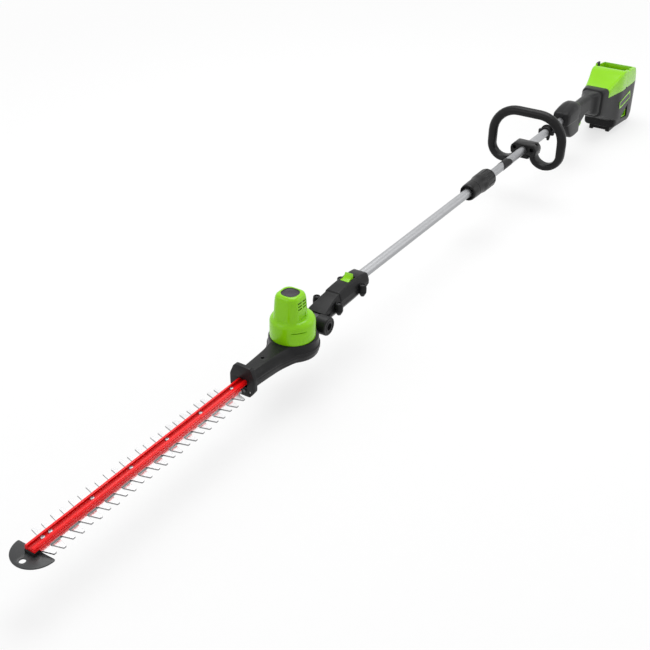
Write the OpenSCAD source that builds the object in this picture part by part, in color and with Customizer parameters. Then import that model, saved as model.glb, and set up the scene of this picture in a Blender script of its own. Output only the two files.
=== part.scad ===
// Pole hedge trimmer, cordless, with a pivoting head and a two-part pole.
// Every module draws in pole coordinates: X runs along the pole from the head pivot
// towards the blade tip, Y to the operator's left, Z up from the pole axis.

/* [Pole] */
// Height of the pole axis above the surface that the battery housing stands on
axis_height = 140; // [138:1:160]
// Outer diameter of both pole tubes
tube_d = 21; // [20:0.25:22]
// Wall thickness of the pole tubes
tube_wall = 1.5; // [1.25:0.25:2]
// Length of the pole from the head pivot to the joint between its two tubes
front_pole = 736; // [640:5:900]
// Length of the pole from the joint between its tubes to the rear handle
rear_pole = 543; // [520:5:700]
// Depth that the rear tube reaches into the rear handle
socket_depth = 42; // [30:1:50]

/* [Tube joint] */
// Length of the hand-tightened collar
collar_len = 118; // [100:1:130]
// Outer diameter of the collar at its front rim
collar_front_d = 41; // [40:0.5:44]
// Outer diameter of the collar at its rear end
collar_rear_d = 47; // [45:0.5:50]
// Diameter of the threaded ferrule inside the collar
ferrule_d = 30; // [29:0.5:32]

/* [Cutting bar] */
// Distance between neighbouring teeth on one side of a blade
tooth_pitch = 38; // [36:0.5:40]
// Number of teeth on the longer side of the upper blade
tooth_count = 13; // [9:1:14]
// Distance from the centre line to the tips of the teeth
tooth_reach = 33; // [30:0.5:36]
// Half the width of the solid strip of each blade
strip_half = 13; // [12:0.5:14]
// Thickness of each blade
blade_t = 2.8; // [2.4:0.1:3]
// Half the width of the foot of the blade rail
rail_half = 9.8; // [9.5:0.1:10.5]
// Height of the blade rail
rail_h = 8.5; // [8:0.25:9]
// Distance from the hand guard to the first tooth
first_tooth = 40; // [39:0.5:48]
// Radius of the round front of the tip plate
tip_r = 37.5; // [35:0.5:40]
// Thickness of the tip plate
tip_t = 2.5; // [2:0.1:3]
// Diameter of the hanging hole in the tip plate
hang_d = 10.2; // [8:0.2:12]

/* [Head] */
// Depth of the head pivot below the pole axis
pivot_drop = 20; // [19:0.5:21]
// Distance from the head pivot to the motor axis
motor_x = 77; // [75:0.5:79]
// Distance from the head pivot to the centre of the round gear case
case_x = 67; // [66:0.5:68]
// Radius of the gear case at its seam
case_r = 51; // [50:0.5:53]
// Distance from the head pivot to the rear face of the hand guard
guard_x = 226; // [222:1:240]
// Wall thickness of the moulded shells
shell_wall = 2.5; // [2:0.1:2.8]
// Radius of the round skirt of the motor cover
skirt_r = 44; // [43:0.5:45]
// Height of the motor cover above the gear case
cover_h = 95; // [93:1:100]
// Teeth on the motor pinion
pinion_teeth = 11; // [11:1:11]
// Teeth on the crank gear
gear_teeth = 33; // [33:1:33]
// Gear module, the pitch diameter divided by the number of teeth
gear_module = 1; // [1:0.01:1.02]

/* [Bracket] */
// Length of the head bracket behind the pivot
bracket_len = 181; // [176:1:200]
// Half the width of the bracket shells
bracket_half = 21; // [20.5:0.25:22]
// Half the width of the pivot tongue on the head
tongue_half = 13; // [12:0.25:13.5]
// Radius of the pivot tongue
tongue_r = 17; // [16.5:0.25:17.5]
// Radius of the two pivot ears on the bracket
ear_r = 19; // [18.5:0.25:20]
// Distance from the centre line to the outer face of the pivot ears
ear_reach = 38; // [34:0.5:42]
// Travel of the head release button
release_travel = 6; // [4:0.5:7]

/* [Front loop handle] */
// Distance from the tube joint to the middle of the loop handle clamp
loop_offset = 291; // [270:1:300]
// Distance from the centre line to the middle of the loop's side bars
loop_half = 96; // [90:1:100]
// Height of the middle of the loop's top bar above the pole axis
loop_rise = 97; // [92:1:110]
// Diameter of the loop bar
loop_bar_d = 22; // [20:0.5:24]
// Distance from the loop handle to the strap ring behind it
ring_offset = 142; // [130:1:150]
// Bore of the strap eye
strap_eye_d = 7; // [6:0.5:8]

/* [Rear handle] */
// Length of the rear handle from its front bulb to the housing seam
handle_len = 243; // [218:1:260]
// Half the width of the hand grip
grip_half = 15.5; // [15:0.25:17]
// Travel of the trigger in degrees
trigger_swing = 10; // [6:1:12]
// Travel of the trigger lock button
lock_travel = 3; // [2:0.5:3]

/* [Battery housing] */
// Length of the battery housing from its seam to its rear face
housing_len = 265; // [260:1:280]
// Half the outside width of the battery housing
housing_half = 52; // [50:0.5:56]
// Length of the battery bay along the pole
bay_len = 84; // [78:1:86]
// Half the width of the battery bay
bay_half = 45; // [42:0.5:45]
// Depth of the battery bay
bay_depth = 165; // [150:1:166]
// Travel of the battery latch
latch_travel = 4; // [3:0.5:5]

/* [Hidden] */
$fn = 64;
tube_r = tube_d / 2;
bore_r = tube_r - tube_wall;
slip = 0.05;          // radial clearance of a running fit
gap = 0.3;            // clearance between faces that pass each other
seat = 0.02;          // clearance of a piece held fast in its seat
beyond = housing_len; // reach of the blocks that part a shape in two
pivot_z = -pivot_drop;

// Cutting bar levels, from the rail down
rail_z = -33.2;
upper_z = rail_z - gap - blade_t;
lower_z = upper_z - gap - blade_t;
tip_z = lower_z - gap - tip_t;
guard_t = 5;
guard_front = guard_x + guard_t;
neck_screw = guard_x - 58;
tooth_start = guard_front - 1 + first_tooth;
tooth_end = tooth_start + (tooth_count - 1) * tooth_pitch;
tooth_root = 8.5;
tooth_tip = 2.8;
crank_throw = tooth_pitch / 4;
stroke = 2 * crank_throw;
rail_end = tooth_end + 18;
tip_x = tooth_end + 8;
bolt_spacing = 88;
bolt_x = concat([tooth_end - 9, tooth_end - 24],
                [for (i = [1:5]) tooth_end - 24 - i * bolt_spacing]);
last_bolt = tooth_end - 24;
bolt_xs = [for (x = bolt_x) if (x > guard_front + 20) x];
bolt_r = 3;
rail_floor = rail_z + 4.2;
nose_x = tip_x + tip_r;

// Drive train levels and places
seam_z = -34;
case_top = -14;
case_floor = -50;
crank_x = motor_x + gear_module * (pinion_teeth + gear_teeth) / 2;
shaft_r = 5;
cam_r = shaft_r + crank_throw + 1.5;
rod_t = 3.5;
rod_len = 40;
stud_r = 4;
stud_h = 2.2;
rod_eye_r = 7;
upper_rod_z = upper_z + blade_t + stud_h + gap;
lower_rod_z = lower_z - stud_h - gap - rod_t;
upper_stud = crank_x + crank_throw + rod_len;
lower_stud = crank_x - crank_throw + rod_len;
gear_z = upper_rod_z + rod_t + 1.2;
gear_t = 6.5;
tail_half = 7.5;
bearing_r = 8;
bearing_t = 5;
plate_t = 5;
plate_r = 39;
skirt_x = case_x + 3;
skirt_inner = skirt_r - shell_wall;
motor_shaft_r = 3;
stator_r = 22;
stator_z = 15;
stator_h = 42;
fan_r = 30;
tower_half = 27;
cover_top = case_top + cover_h;
bearing_cup_z = cover_top - 17;

// Bracket and pole stations, all negative because they lie behind the pivot
bracket_back = -bracket_len;
tube_front = bracket_back + 39;
joint_x = -front_pole;
collar_front = joint_x + collar_len / 2;
collar_back = joint_x - collar_len / 2;
loop_x = joint_x - loop_offset;
ring_x = loop_x - ring_offset;
band_x = loop_x + 134;
handle_front = joint_x - rear_pole;
handle_back = handle_front - handle_len;
tube_back = handle_front - socket_depth;
housing_back = handle_back - housing_len;
boss_y = bracket_half + 5;
boss_r = 6.5;
boss_x = [-54, -144];
split_z = -11;
yoke_back = -60;
button_x = -124;
bolt_back = -132;
bulb_x = handle_front - 57;
waist_x = handle_front - 109;
flare_x = handle_front - 161;
trigger_x = handle_front - 120;
trigger_z = -17;
trigger_spring_len = 5 + trigger_swing / 4;
lock_x = handle_front - 133;
switch_x = handle_front - 165;
shoulder_x = handle_back - 38;
bay_back = housing_back + 42;
bay_front = bay_back + bay_len;
rim_front = bay_front + 6;
rim_back = bay_back - 8;
bay_floor = 46 - bay_depth;
latch_x = bay_front - 24;
latch_z = 20;
latch_spring_len = 14 + latch_travel;
split_top = -8;
controller_x = shoulder_x - 22;
foot_z = -axis_height;
overall = nose_x - housing_back;
pivot_x = overall / 2 - nose_x;

// Moves pole coordinates to the part's own frame
module pole() translate([pivot_x, 0, axis_height]) children();
// Round bars along the three axes
module bar_x(x0, x1, r) translate([x0, 0, 0]) rotate([0, 90, 0]) cylinder(r = r, h = x1 - x0);
module bar_y(y0, y1, r) translate([0, y0, 0]) rotate([-90, 0, 0]) cylinder(r = r, h = y1 - y0);
module bar_z(z0, z1, r) translate([0, 0, z0]) cylinder(r = r, h = z1 - z0);
// A block between two corners
module block(lo, hi) translate(lo) cube(hi - lo);
// Extrudes a drawing of (Y, Z) along X, and a drawing of (X, Z) across the width
module along_x(x0, x1) translate([x0, 0, 0]) rotate([90, 0, 90]) linear_extrude(x1 - x0) children();
module across_y(y0, y1) translate([0, y1, 0]) rotate([90, 0, 0]) linear_extrude(y1 - y0) children();
// A rectangle with round corners, centred
module round_rect(l, w, r) {
    square([l - 2 * r, w], center = true);
    square([l, w - 2 * r], center = true);
    for (i = [-1, 1], j = [-1, 1]) translate([i * (l / 2 - r), j * (w / 2 - r)]) circle(r);
}
// The four rounded corners of a shell's cross-section at x, to be joined by a hull
module section(x, half, z0, z1, low_r, top_r) along_x(x - 0.25, x + 0.25) for (s = [-1, 1]) {
    translate([s * (half - low_r), z0 + low_r]) circle(low_r, $fn = 32);
    translate([s * (half - top_r), z1 - top_r]) circle(top_r, $fn = 32);
}

// ---- Cutting bar ----
// Profile of the rail: a foot with a groove on each side and an open channel on top
module rail_profile() difference() {
    translate([-rail_half, rail_z]) square([2 * rail_half, rail_h]);
    translate([-4.2, rail_floor]) square([8.4, rail_h]);
    for (s = [-1, 1]) translate([s * rail_half, rail_z + 4.3]) square([2.6, 1.2], center = true);
    for (s = [-1, 1]) translate([s * (rail_half + 0.4), rail_z + rail_h]) rotate(45)
        square(3, center = true);
}

module blade_rail() pole() color("red") difference() {
    union() {
        along_x(guard_x - 12, rail_end) rail_profile();
        block([guard_x - 66, -tail_half, rail_z], [guard_x - 11, tail_half, rail_floor]);
    }
    for (x = bolt_xs) translate([x, 0, 0]) bar_z(rail_z - 1, rail_floor + 1, bolt_r + seat);
    translate([neck_screw, 0, 0]) bar_z(rail_z - 1, rail_floor + 1, 2 + seat);
    translate([rail_end - 5, 0, 0]) bar_z(rail_z - 1, rail_floor + 1, 2 + seat);
}

// One tooth pointing towards +Y, drawn around x = 0
module tooth() polygon([[-tooth_root, 0], [tooth_root, 0], [tooth_root, strip_half],
    [tooth_tip, tooth_reach], [-tooth_tip, tooth_reach], [-tooth_root, strip_half]]);

// Outline of a blade: strip, tail and two rows of teeth, the second row half a pitch back
module blade_outline(tail_x, front_x, first, count, second) {
    translate([guard_front + stroke + 1, -strip_half])
        square([front_x - guard_front - stroke - 1, 2 * strip_half]);
    translate([tail_x - 7, -tail_half]) square([guard_front + stroke + 10 - tail_x, 2 * tail_half]);
    for (i = [0:count - 1]) translate([first + i * tooth_pitch, 0]) tooth();
    for (i = [0:tooth_count - 2]) translate([second + i * tooth_pitch, 0]) mirror([0, 1]) tooth();
}

// Slots for the blade bolts, long enough for the stroke towards dir
module blade_slots(dir, front_x) for (x = bolt_xs) {
    slot_half = bolt_r + 0.4;
    low = dir > 0 ? x : x - stroke;
    translate([low - slot_half, -slot_half]) square([stroke + 2 * slot_half, 2 * slot_half]);
    if (x > front_x - 42) translate([x, -slot_half]) square([60, 2 * slot_half]);
}

module upper_blade() pole() color("gainsboro") difference() {
    union() {
        translate([0, 0, upper_z]) linear_extrude(blade_t) difference() {
            blade_outline(upper_stud, tooth_end + tooth_root, tooth_start, tooth_count,
                tooth_start + tooth_pitch / 2);
            blade_slots(1, tooth_end + tooth_root);
        }
        translate([upper_stud, 0, 0]) bar_z(upper_z + blade_t, upper_z + blade_t + stud_h, stud_r);
    }
}

module lower_blade() pole() color("silver") difference() {
    union() {
        translate([0, 0, lower_z]) linear_extrude(blade_t) difference() {
            mirror([0, 1]) blade_outline(lower_stud, tooth_end - 10, tooth_start, tooth_count - 1,
                tooth_start + tooth_pitch / 2);
            blade_slots(-1, tooth_end - 10);
        }
        translate([lower_stud, 0, 0]) bar_z(lower_z - stud_h, lower_z, stud_r);
    }
}

module blade_bolts() pole() color("lightgray") for (x = bolt_xs) translate([x, 0, 0]) {
    bar_z(lower_z - gap, rail_floor, bolt_r);
    bar_z(tip_z - 3.8, lower_z - gap, 2.5);
    bar_z(rail_floor, rail_floor + 1, 4.1);
    translate([0, 0, rail_floor + 1]) intersection() {
        translate([0, 0, -2]) sphere(r = 4.5);
        bar_z(0, 3, 4.5);
    }
}

module blade_nuts() pole() color("darkgray") for (x = bolt_xs) translate([x, 0, 0]) difference() {
    union() {
        top = x > tip_x - 50 ? tip_z : lower_z - gap;
        bar_z(tip_z - 0.8, top, 5.5);
        translate([0, 0, tip_z - 3.6]) cylinder(r = 4.6, h = 2.9, $fn = 6);
    }
    bar_z(tip_z - 5, lower_z + 1, 2.5 + seat);
}

module tip_spacer() pole() color("black") difference() {
    block([rail_end - 9, -10, tip_z + tip_t], [rail_end + 1.5, 10, rail_z]);
    translate([rail_end - 5, 0, 0]) bar_z(tip_z, rail_z + 1, 2 + seat);
}

module tip_plate() pole() color("dimgray") difference() {
    translate([0, 0, tip_z]) linear_extrude(tip_t) difference() {
        union() {
            intersection() {
                translate([tip_x, 0]) circle(tip_r, $fn = 96);
                translate([tip_x - 2.5, -tip_r]) square([tip_r + 5, 2 * tip_r]);
            }
            translate([last_bolt - 7, -9]) square([tip_x - last_bolt + 8, 18]);
        }
        for (x = bolt_xs) if (x > tip_x - 50) translate([x, 0]) circle(2.5 + seat);
        translate([rail_end - 5, 0]) circle(2 + seat);
        translate([nose_x - 12, 0]) circle(hang_d / 2);
    }
    for (s = [-1, 1]) translate([tip_x - 2.5, s * (tip_r + 1), tip_z - 1]) rotate(s * 45)
        cube([5, 5, 20], center = true);
}

// ---- Hand guard ----
module guard_outline(inset) {
    w = strip_half + 14 - inset;
    polygon([[-w * 0.55, 1 - inset], [w * 0.55, 1 - inset], [w, -19], [w, -44],
        [w * 0.6, -59 + inset], [-w * 0.6, -59 + inset], [-w, -44], [-w, -19]]);
}

module hand_guard() pole() color([0.16, 0.16, 0.17]) difference() {
    union() {
        along_x(guard_x, guard_front) guard_outline(0);
        difference() {
            along_x(guard_x - 8, guard_x) guard_outline(0);
            along_x(guard_x - 9, guard_x + 1) guard_outline(3);
        }
    }
    block([guard_x - 1, -rail_half - gap, lower_z - gap],
        [guard_front + 1, rail_half + gap, rail_z + rail_h + gap]);
    block([guard_x - 1, 14, -54], [guard_front + 1, 17, -46]);
    for (s = [-1, 1]) translate([0, s * 5, case_floor + 2.4])
        bar_x(guard_x - 9, guard_front + 1, 1.75 + seat);
}

// ---- Gear case ----
// Half widths of the neck at its seam and at its top face, from the round body to the guard
neck_x = [case_x, case_x + 44, case_x + 80, guard_x];
neck_low = [case_r - 5, 33, 22.5, 13.5];
neck_high = [case_r - 13, 20, 14.5, 11];

module neck_section(x, low, high, inset) {
    along_x(x - 0.01, x) polygon([[inset - low, seam_z], [low - inset, seam_z],
        [high - inset, case_top - inset], [inset - high, case_top - inset]]);
}

// Upper half of the case as a solid, drawn in by inset
module case_top_form(inset) {
    translate([case_x, 0, seam_z])
        cylinder(r1 = case_r - inset, r2 = case_r - 5 - inset, h = case_top - inset - seam_z);
    for (i = [0:2]) hull() {
        neck_section(neck_x[i], neck_low[i], neck_high[i], inset);
        neck_section(neck_x[i + 1], neck_low[i + 1], neck_high[i + 1], inset);
    }
}

// Lower half of the case as a solid, drawn in by inset
module case_bottom_form(inset) {
    h = seam_z - case_floor - inset;
    translate([case_x, 0, case_floor + inset]) {
        cylinder(r1 = case_r - 4 - inset, r2 = case_r - inset, h = 4);
        translate([0, 0, 4]) cylinder(r = case_r - inset, h = h - 4);
    }
    translate([0, 0, case_floor + inset]) linear_extrude(h) polygon(concat(
        [for (i = [0:3]) [neck_x[i], neck_low[i] - inset]],
        [for (i = [3:-1:0]) [neck_x[i], inset - neck_low[i]]]));
}

// Room for the pivot ears and the knuckle at the rear of the case
module knuckle_room() {
    translate([0, 0, pivot_z]) bar_y(-ear_reach - 9, ear_reach + 9, ear_r + 1.2);
    block([0, -tongue_half - seat, pivot_z - tongue_r - seat],
        [24 + seat, tongue_half + seat, pivot_z + tongue_r + seat]);
}

module case_screw_places() {
    translate([case_x, 0, 0]) for (a = [62, 125, 235, 298]) rotate(a)
        translate([case_r - 9.7, 0, 0]) children();
}

module gear_case_top() pole() color([0.2, 0.2, 0.21]) difference() {
    union() {
        difference() {
            case_top_form(0);
            case_top_form(shell_wall);
            translate([skirt_x, 0, 0]) bar_z(case_top - 6, case_top + 1, plate_r - 3);
        }
        case_screw_places() bar_z(seam_z, case_top - 1, 4.5);
        translate([neck_screw, 0, 0]) bar_z(rail_floor, case_top - 1, 5);
    }
    knuckle_room();
    case_screw_places() bar_z(seam_z - 1, case_top - 4, 1.75 + seat);
    translate([neck_screw, 0, 0]) {
        bar_z(rail_floor - 1, case_top + 1, 1.75 + seat);
        bar_z(case_top - 6, case_top + 1, 3.4);
    }
    block([guard_x - 14, -rail_half - seat, seam_z - 1],
        [guard_x + 1, rail_half + seat, rail_z + rail_h + seat]);
}

module gear_case_bottom() pole() color([0.18, 0.18, 0.19]) difference() {
    union() {
        difference() {
            union() {
                case_bottom_form(0);
                translate([crank_x, 0, 0]) bar_z(case_floor - 4, case_floor + 1, bearing_r + 3);
            }
            case_bottom_form(shell_wall);
        }
        case_screw_places() bar_z(case_floor + 1, seam_z, 4.5);
        block([guard_x - 8, -9, case_floor + 1], [guard_x, 9, case_floor + 5.5]);
    }
    knuckle_room();
    case_screw_places() {
        bar_z(case_floor - 1, seam_z + 1, 1.75 + seat);
        bar_z(case_floor - 1, case_floor + 2.4, 3.4);
    }
    translate([crank_x, 0, 0]) bar_z(case_floor - 1, case_floor + 5, bearing_r + seat);
    for (s = [-1, 1]) translate([0, s * 5, case_floor + 2.4]) bar_x(guard_x - 9, guard_x + 1, 1.75 + seat);
}

// A screw standing on its head at z0, with its point at z1
module screw_up(z0, z1) {
    bar_z(z0, z0 + 2.2, 3.2);
    bar_z(z0 + 2, z1, 1.75);
}

module case_screws() pole() color("dimgray") {
    case_screw_places() screw_up(case_floor, case_top - 5);
    translate([neck_screw, 0, 0]) {
        bar_z(case_top - 6, case_top - 3.8, 3.2);
        bar_z(rail_z, case_top - 5, 1.75);
    }
    for (s = [-1, 1]) translate([0, s * 5, case_floor + 2.4]) {
        bar_x(guard_front, guard_front + 2, 3.2);
        bar_x(guard_x - 7, guard_front + 1, 1.75);
    }
}

// ---- Drive train ----
// Involute gear outline: half the angle that a tooth spans at radius r
function involute(base, r) = let(a = acos(min(1, base / r))) tan(a) * 180 / PI - a;
function tooth_half(pitch_r, base, teeth, r) =
    90 / teeth - 3 / pitch_r + involute(base, pitch_r) - involute(base, max(r, base));

module gear_outline(teeth) {
    pitch_r = teeth * gear_module / 2;
    base = pitch_r * cos(25);
    radii = [for (k = [-1.2, -0.35, 0, 0.45, 0.9]) pitch_r + k * gear_module];
    polygon([for (i = [0:teeth - 1]) for (side = [-1, 1]) for (k = [0:4])
        let(r = radii[side < 0 ? k : 4 - k], a = 360 * i / teeth
            + side * tooth_half(pitch_r, base, teeth, r)) [r * cos(a), r * sin(a)]]);
}

module gear_plate() pole() color("silver") difference() {
    translate([skirt_x, 0, 0]) bar_z(case_top, case_top + plate_t, plate_r);
    translate([motor_x, 0, 0]) bar_z(case_top - 1, case_top + plate_t + 1, bearing_r + seat);
    translate([crank_x, 0, 0]) bar_z(case_top - 1, case_top + plate_t + 1, bearing_r + seat);
}

module crank_gear() pole() color("gray") translate([crank_x, 0, gear_z]) difference() {
    linear_extrude(gear_t) gear_outline(gear_teeth);
    translate([0, 0, -1]) cylinder(r = shaft_r + seat, h = gear_t + 2);
    for (a = [0:60:300]) rotate(a) translate([10.4, 0, -1]) cylinder(r = 2.6, h = gear_t + 2);
}

module crankshaft() pole() color("darkgray") translate([crank_x, 0, 0]) {
    bar_z(case_floor - 1, case_top + plate_t, shaft_r);
    translate([crank_throw, 0, 0]) bar_z(upper_rod_z - 0.2, upper_rod_z + rod_t + 0.2, cam_r);
    translate([-crank_throw, 0, 0]) bar_z(lower_rod_z - 0.2, lower_rod_z + rod_t + 0.2, cam_r);
}

// A connecting rod: a ring round the eccentric and an eye over the blade stud
module rod() linear_extrude(rod_t) difference() {
    union() {
        circle(cam_r + 2.5);
        translate([rod_len, 0]) circle(rod_eye_r);
        translate([0, -5]) square([rod_len, 10]);
    }
    circle(cam_r + slip);
    translate([rod_len, 0]) circle(stud_r + slip);
}

module upper_rod() pole() color("lightsteelblue")
    translate([crank_x + crank_throw, 0, upper_rod_z]) rod();
module lower_rod() pole() color("lightsteelblue")
    translate([crank_x - crank_throw, 0, lower_rod_z]) rod();

module pinion() pole() color("gray") translate([motor_x, 0, gear_z]) difference() {
    linear_extrude(gear_t) gear_outline(pinion_teeth);
    translate([0, 0, -1]) cylinder(r = motor_shaft_r + seat, h = gear_t + 2);
}

module rotor() pole() color("slategray") translate([motor_x, 0, 0]) {
    bar_z(gear_z, bearing_cup_z + bearing_t + 1, motor_shaft_r);
    bar_z(stator_z - 2, stator_z + stator_h + 2, 12);
}

module fan() pole() color("black") translate([motor_x, 0, case_top + plate_t + 3]) difference() {
    union() {
        cylinder(r = fan_r, h = 2);
        cylinder(r = 7, h = 14);
        for (a = [0:30:330]) rotate(a) translate([8, -0.8, 1]) cube([fan_r - 9, 1.6, 11]);
    }
    translate([0, 0, -1]) cylinder(r = motor_shaft_r + seat, h = 16);
}

module stator() pole() color("sienna") translate([motor_x, 0, stator_z]) difference() {
    cylinder(r = stator_r, h = stator_h);
    translate([0, 0, -1]) cylinder(r = 12.6, h = stator_h + 2);
    for (a = [0:60:300]) rotate(a) for (z = [-1, stator_h - 7])
        translate([17.3, 0, z]) cylinder(r = 2.2, h = 8);
}

// Ring bearing with its seat at z0
module bearing(z0, inner) translate([0, 0, z0]) difference() {
    cylinder(r = bearing_r, h = bearing_t);
    translate([0, 0, -1]) cylinder(r = inner + slip, h = bearing_t + 2);
}

module bearings() pole() color("silver") {
    translate([motor_x, 0, 0]) bearing(case_top, motor_shaft_r);
    translate([motor_x, 0, 0]) bearing(bearing_cup_z, motor_shaft_r);
    translate([crank_x, 0, 0]) bearing(case_top, shaft_r);
    translate([crank_x, 0, 0]) bearing(case_floor - 1, shaft_r);
}

// ---- Motor cover ----
// Skirt and shoulder of the cover, drawn in by inset
module skirt_form(inset) translate([skirt_x, 0, case_top]) rotate_extrude() {
    square([skirt_r - 10, 45 - inset]);
    square([skirt_r - inset, 35]);
    intersection() {
        translate([skirt_r - 10, 35]) circle(10 - inset);
        square([skirt_r, 60]);
    }
}

module tower_slab(z, half, r) translate([motor_x, 0, z]) linear_extrude(0.5)
    round_rect(2 * half, 2 * half, r, $fn = 48);

module motor_cover() pole() color("yellowgreen") difference() {
    union() {
        difference() {
            union() {
                skirt_form(0);
                hull() {
                    tower_slab(case_top + 40, tower_half + 0.5, 17);
                    tower_slab(cover_top - 7, tower_half - 2.2, 16);
                    tower_slab(cover_top - 1.5, tower_half - 6, 13);
                }
            }
            translate([0, 0, -0.01]) skirt_form(shell_wall);
            translate([motor_x, 0, case_top]) linear_extrude(cover_h - 4)
                round_rect(2 * tower_half - 8, 2 * tower_half - 8, 14);
        }
        for (a = [45:90:315]) translate([motor_x, 0, stator_z]) rotate(a)
            block([stator_r - 1, -2, 0], [tower_half + 1.5, 2, stator_h]);
        translate([motor_x, 0, 0]) bar_z(bearing_cup_z - 1, cover_top - 3, bearing_r + 2.5);
    }
    translate([motor_x, 0, 0]) {
        bar_z(stator_z - 1, stator_z + stator_h + 1, stator_r + seat);
        bar_z(bearing_cup_z - 2, bearing_cup_z + bearing_t + seat, bearing_r + seat);
        bar_z(bearing_cup_z, cover_top - 8, 5);
        translate([0, 0, cover_top - 2.5]) linear_extrude(4) round_rect(34, 34, 12);
        for (z = [cover_top - 14, cover_top - 20, cover_top - 26], x = [-14, 2])
            block([x, tower_half - 8, z], [x + 12, tower_half + 4, z + 2]);
    }
    translate([skirt_x, 0, 0]) for (a = [40, 60]) rotate(a)
        block([skirt_inner - 1, -7, case_top + 26], [skirt_r + 1, 7, case_top + 28]);
}

module cover_cap() pole() color([0.25, 0.23, 0.27]) translate([motor_x, 0, cover_top - 2.5])
    linear_extrude(1.5) round_rect(34 - 0.2, 34 - 0.2, 11.9);

// ---- Head pivot and bracket ----
module at_pivot() translate([0, 0, pivot_z]) children();

module pivot_knuckle() pole() color([0.22, 0.22, 0.23]) at_pivot() difference() {
    union() {
        bar_y(-tongue_half, tongue_half, tongue_r);
        block([0, -tongue_half, -tongue_r], [24, tongue_half, tongue_r]);
    }
    bar_y(-tongue_half - 1, tongue_half + 1, 4 + slip);
    for (a = [-90:22.5:45]) rotate([0, a - 90, 0]) translate([0, 0, tongue_r])
        cube([4.6, 11, 8], center = true);
    block([12, -9, -12], [25, 9, 12]);
}

module pivot_bolt() pole() color("silver") at_pivot() difference() {
    union() {
        bar_y(-ear_reach - 5, ear_reach - 10, 4);
        bar_y(ear_reach - 12, ear_reach - 6, 6.8);
    }
    translate([0, ear_reach - 9, 0]) rotate([-90, 0, 0]) cylinder(r = 3.6, h = 4, $fn = 6);
}

module pivot_nut_cap() pole() color([0.1, 0.1, 0.11]) at_pivot() difference() {
    bar_y(-ear_reach - 8, -ear_reach, ear_r + 3);
    bar_y(-ear_reach - 5 - seat, -ear_reach + 1, 4 + seat);
    for (a = [0:45:315]) rotate([0, a, 0]) translate([ear_r + 5.5, 0, 0])
        bar_y(-ear_reach - 9, -ear_reach + 1, 4);
}

module pivot_yoke() pole() color([0.15, 0.15, 0.16]) difference() {
    union() {
        block([yoke_back, 5 - bracket_half, -26], [-28, bracket_half - 5, -8]);
        for (s = [0, 1]) mirror([0, s, 0]) at_pivot() {
            bar_y(tongue_half + gap, ear_reach, ear_r);
            block([-28, tongue_half + gap, -16], [0, 24, 8]);
        }
    }
    at_pivot() bar_y(-ear_reach - 1, ear_reach + 1, 4 + seat);
    at_pivot() bar_y(ear_reach - 12 - seat, ear_reach + 1, 7.6);
    block([yoke_back - 1, -5 - gap, -24 - gap], [-27, 5 + gap, -16 + gap]);
}

// Side and front outlines of the two bracket shells
module upper_side() polygon([[bracket_back, split_z], [bracket_back, 10], [bracket_back + 5, 13],
    [button_x - 22, 17], [button_x + 18, 17], [-70, 13.5], [-24, 0.5], [-12, -4], [-12, -9],
    [-30, split_z]]);
module upper_front() polygon([[-bracket_half, split_z - 1], [bracket_half, split_z - 1],
    [bracket_half, -3], [bracket_half - 6.5, 18], [6.5 - bracket_half, 18], [-bracket_half, -3]]);
module lower_side() polygon([[bracket_back + 4, split_z], [bracket_back + 8, -22],
    [bracket_back + 50, -26.5], [-30, -29], [-30, split_z]]);
module lower_front() polygon([[-bracket_half, split_z], [bracket_half, split_z],
    [bracket_half, -18], [bracket_half - 6, -29], [6 - bracket_half, -29], [-bracket_half, -18]]);

module boss_places() for (x = boss_x, s = [-1, 1]) translate([x, s * boss_y, 0]) children();

module bracket_upper() pole() color([0.19, 0.19, 0.2]) difference() {
    union() {
        intersection() {
            across_y(-40, 40) upper_side();
            along_x(bracket_back - 1, 0) upper_front();
        }
        boss_places() bar_z(split_z, 3, boss_r);
    }
    bar_x(bracket_back - 1, tube_front + 1, tube_r + seat);
    block([tube_front, -15, split_z - 1], [-72, 15, 9.7]);
    block([-73, 5 - bracket_half - seat, split_z - 1], [-28 + seat, bracket_half - 5 + seat, -8 + seat]);
    block([button_x - 11.5 - release_travel, -10 - gap, 5], [button_x + 10.5, 10 + gap, 20]);
    at_pivot() bar_y(-30, 30, ear_r + 1.2);
    boss_places() {
        bar_z(split_z - 1, 4, 2 + seat);
        bar_z(-1, 4, 3.7);
    }
}

module bracket_lower() pole() color([0.17, 0.17, 0.18]) difference() {
    union() {
        intersection() {
            across_y(-40, 40) lower_side();
            along_x(bracket_back, 0) lower_front();
        }
        boss_places() bar_z(-25, split_z, boss_r);
    }
    block([tube_front - 8, -15, -24.3], [-72, 15, split_z + 1]);
    block([-73, 5 - bracket_half - seat, -26 - seat], [-28, bracket_half - 5 + seat, split_z + 1]);
    at_pivot() bar_y(-30, 30, ear_r + 1.2);
    boss_places() bar_z(-22, split_z + 1, 2 + seat);
}

module bracket_screws() pole() color("dimgray") boss_places() {
    bar_z(-1, 1, 3.4);
    bar_z(-21, 0, 2);
}

module release_button() pole() color("yellowgreen") difference() {
    union() {
        block([button_x - 11, -10, 9], [button_x + 10, 10, 20]);
        block([button_x - 11, -13, 7.2], [button_x + 10, 13, 9.2]);
    }
    translate([button_x + 6, 0, 33]) bar_y(-11, 11, 18);
}

module lock_bar() pole() color("silver") {
    block([bolt_back, -5, -24], [-tongue_r - 7, 5, -16]);
    block([-tongue_r - 8, -5, -22.1], [-tongue_r - 0.4, 5, -17.9]);
    block([button_x - 4, -5, -17], [button_x + 6, 5, 7.2]);
}

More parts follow.
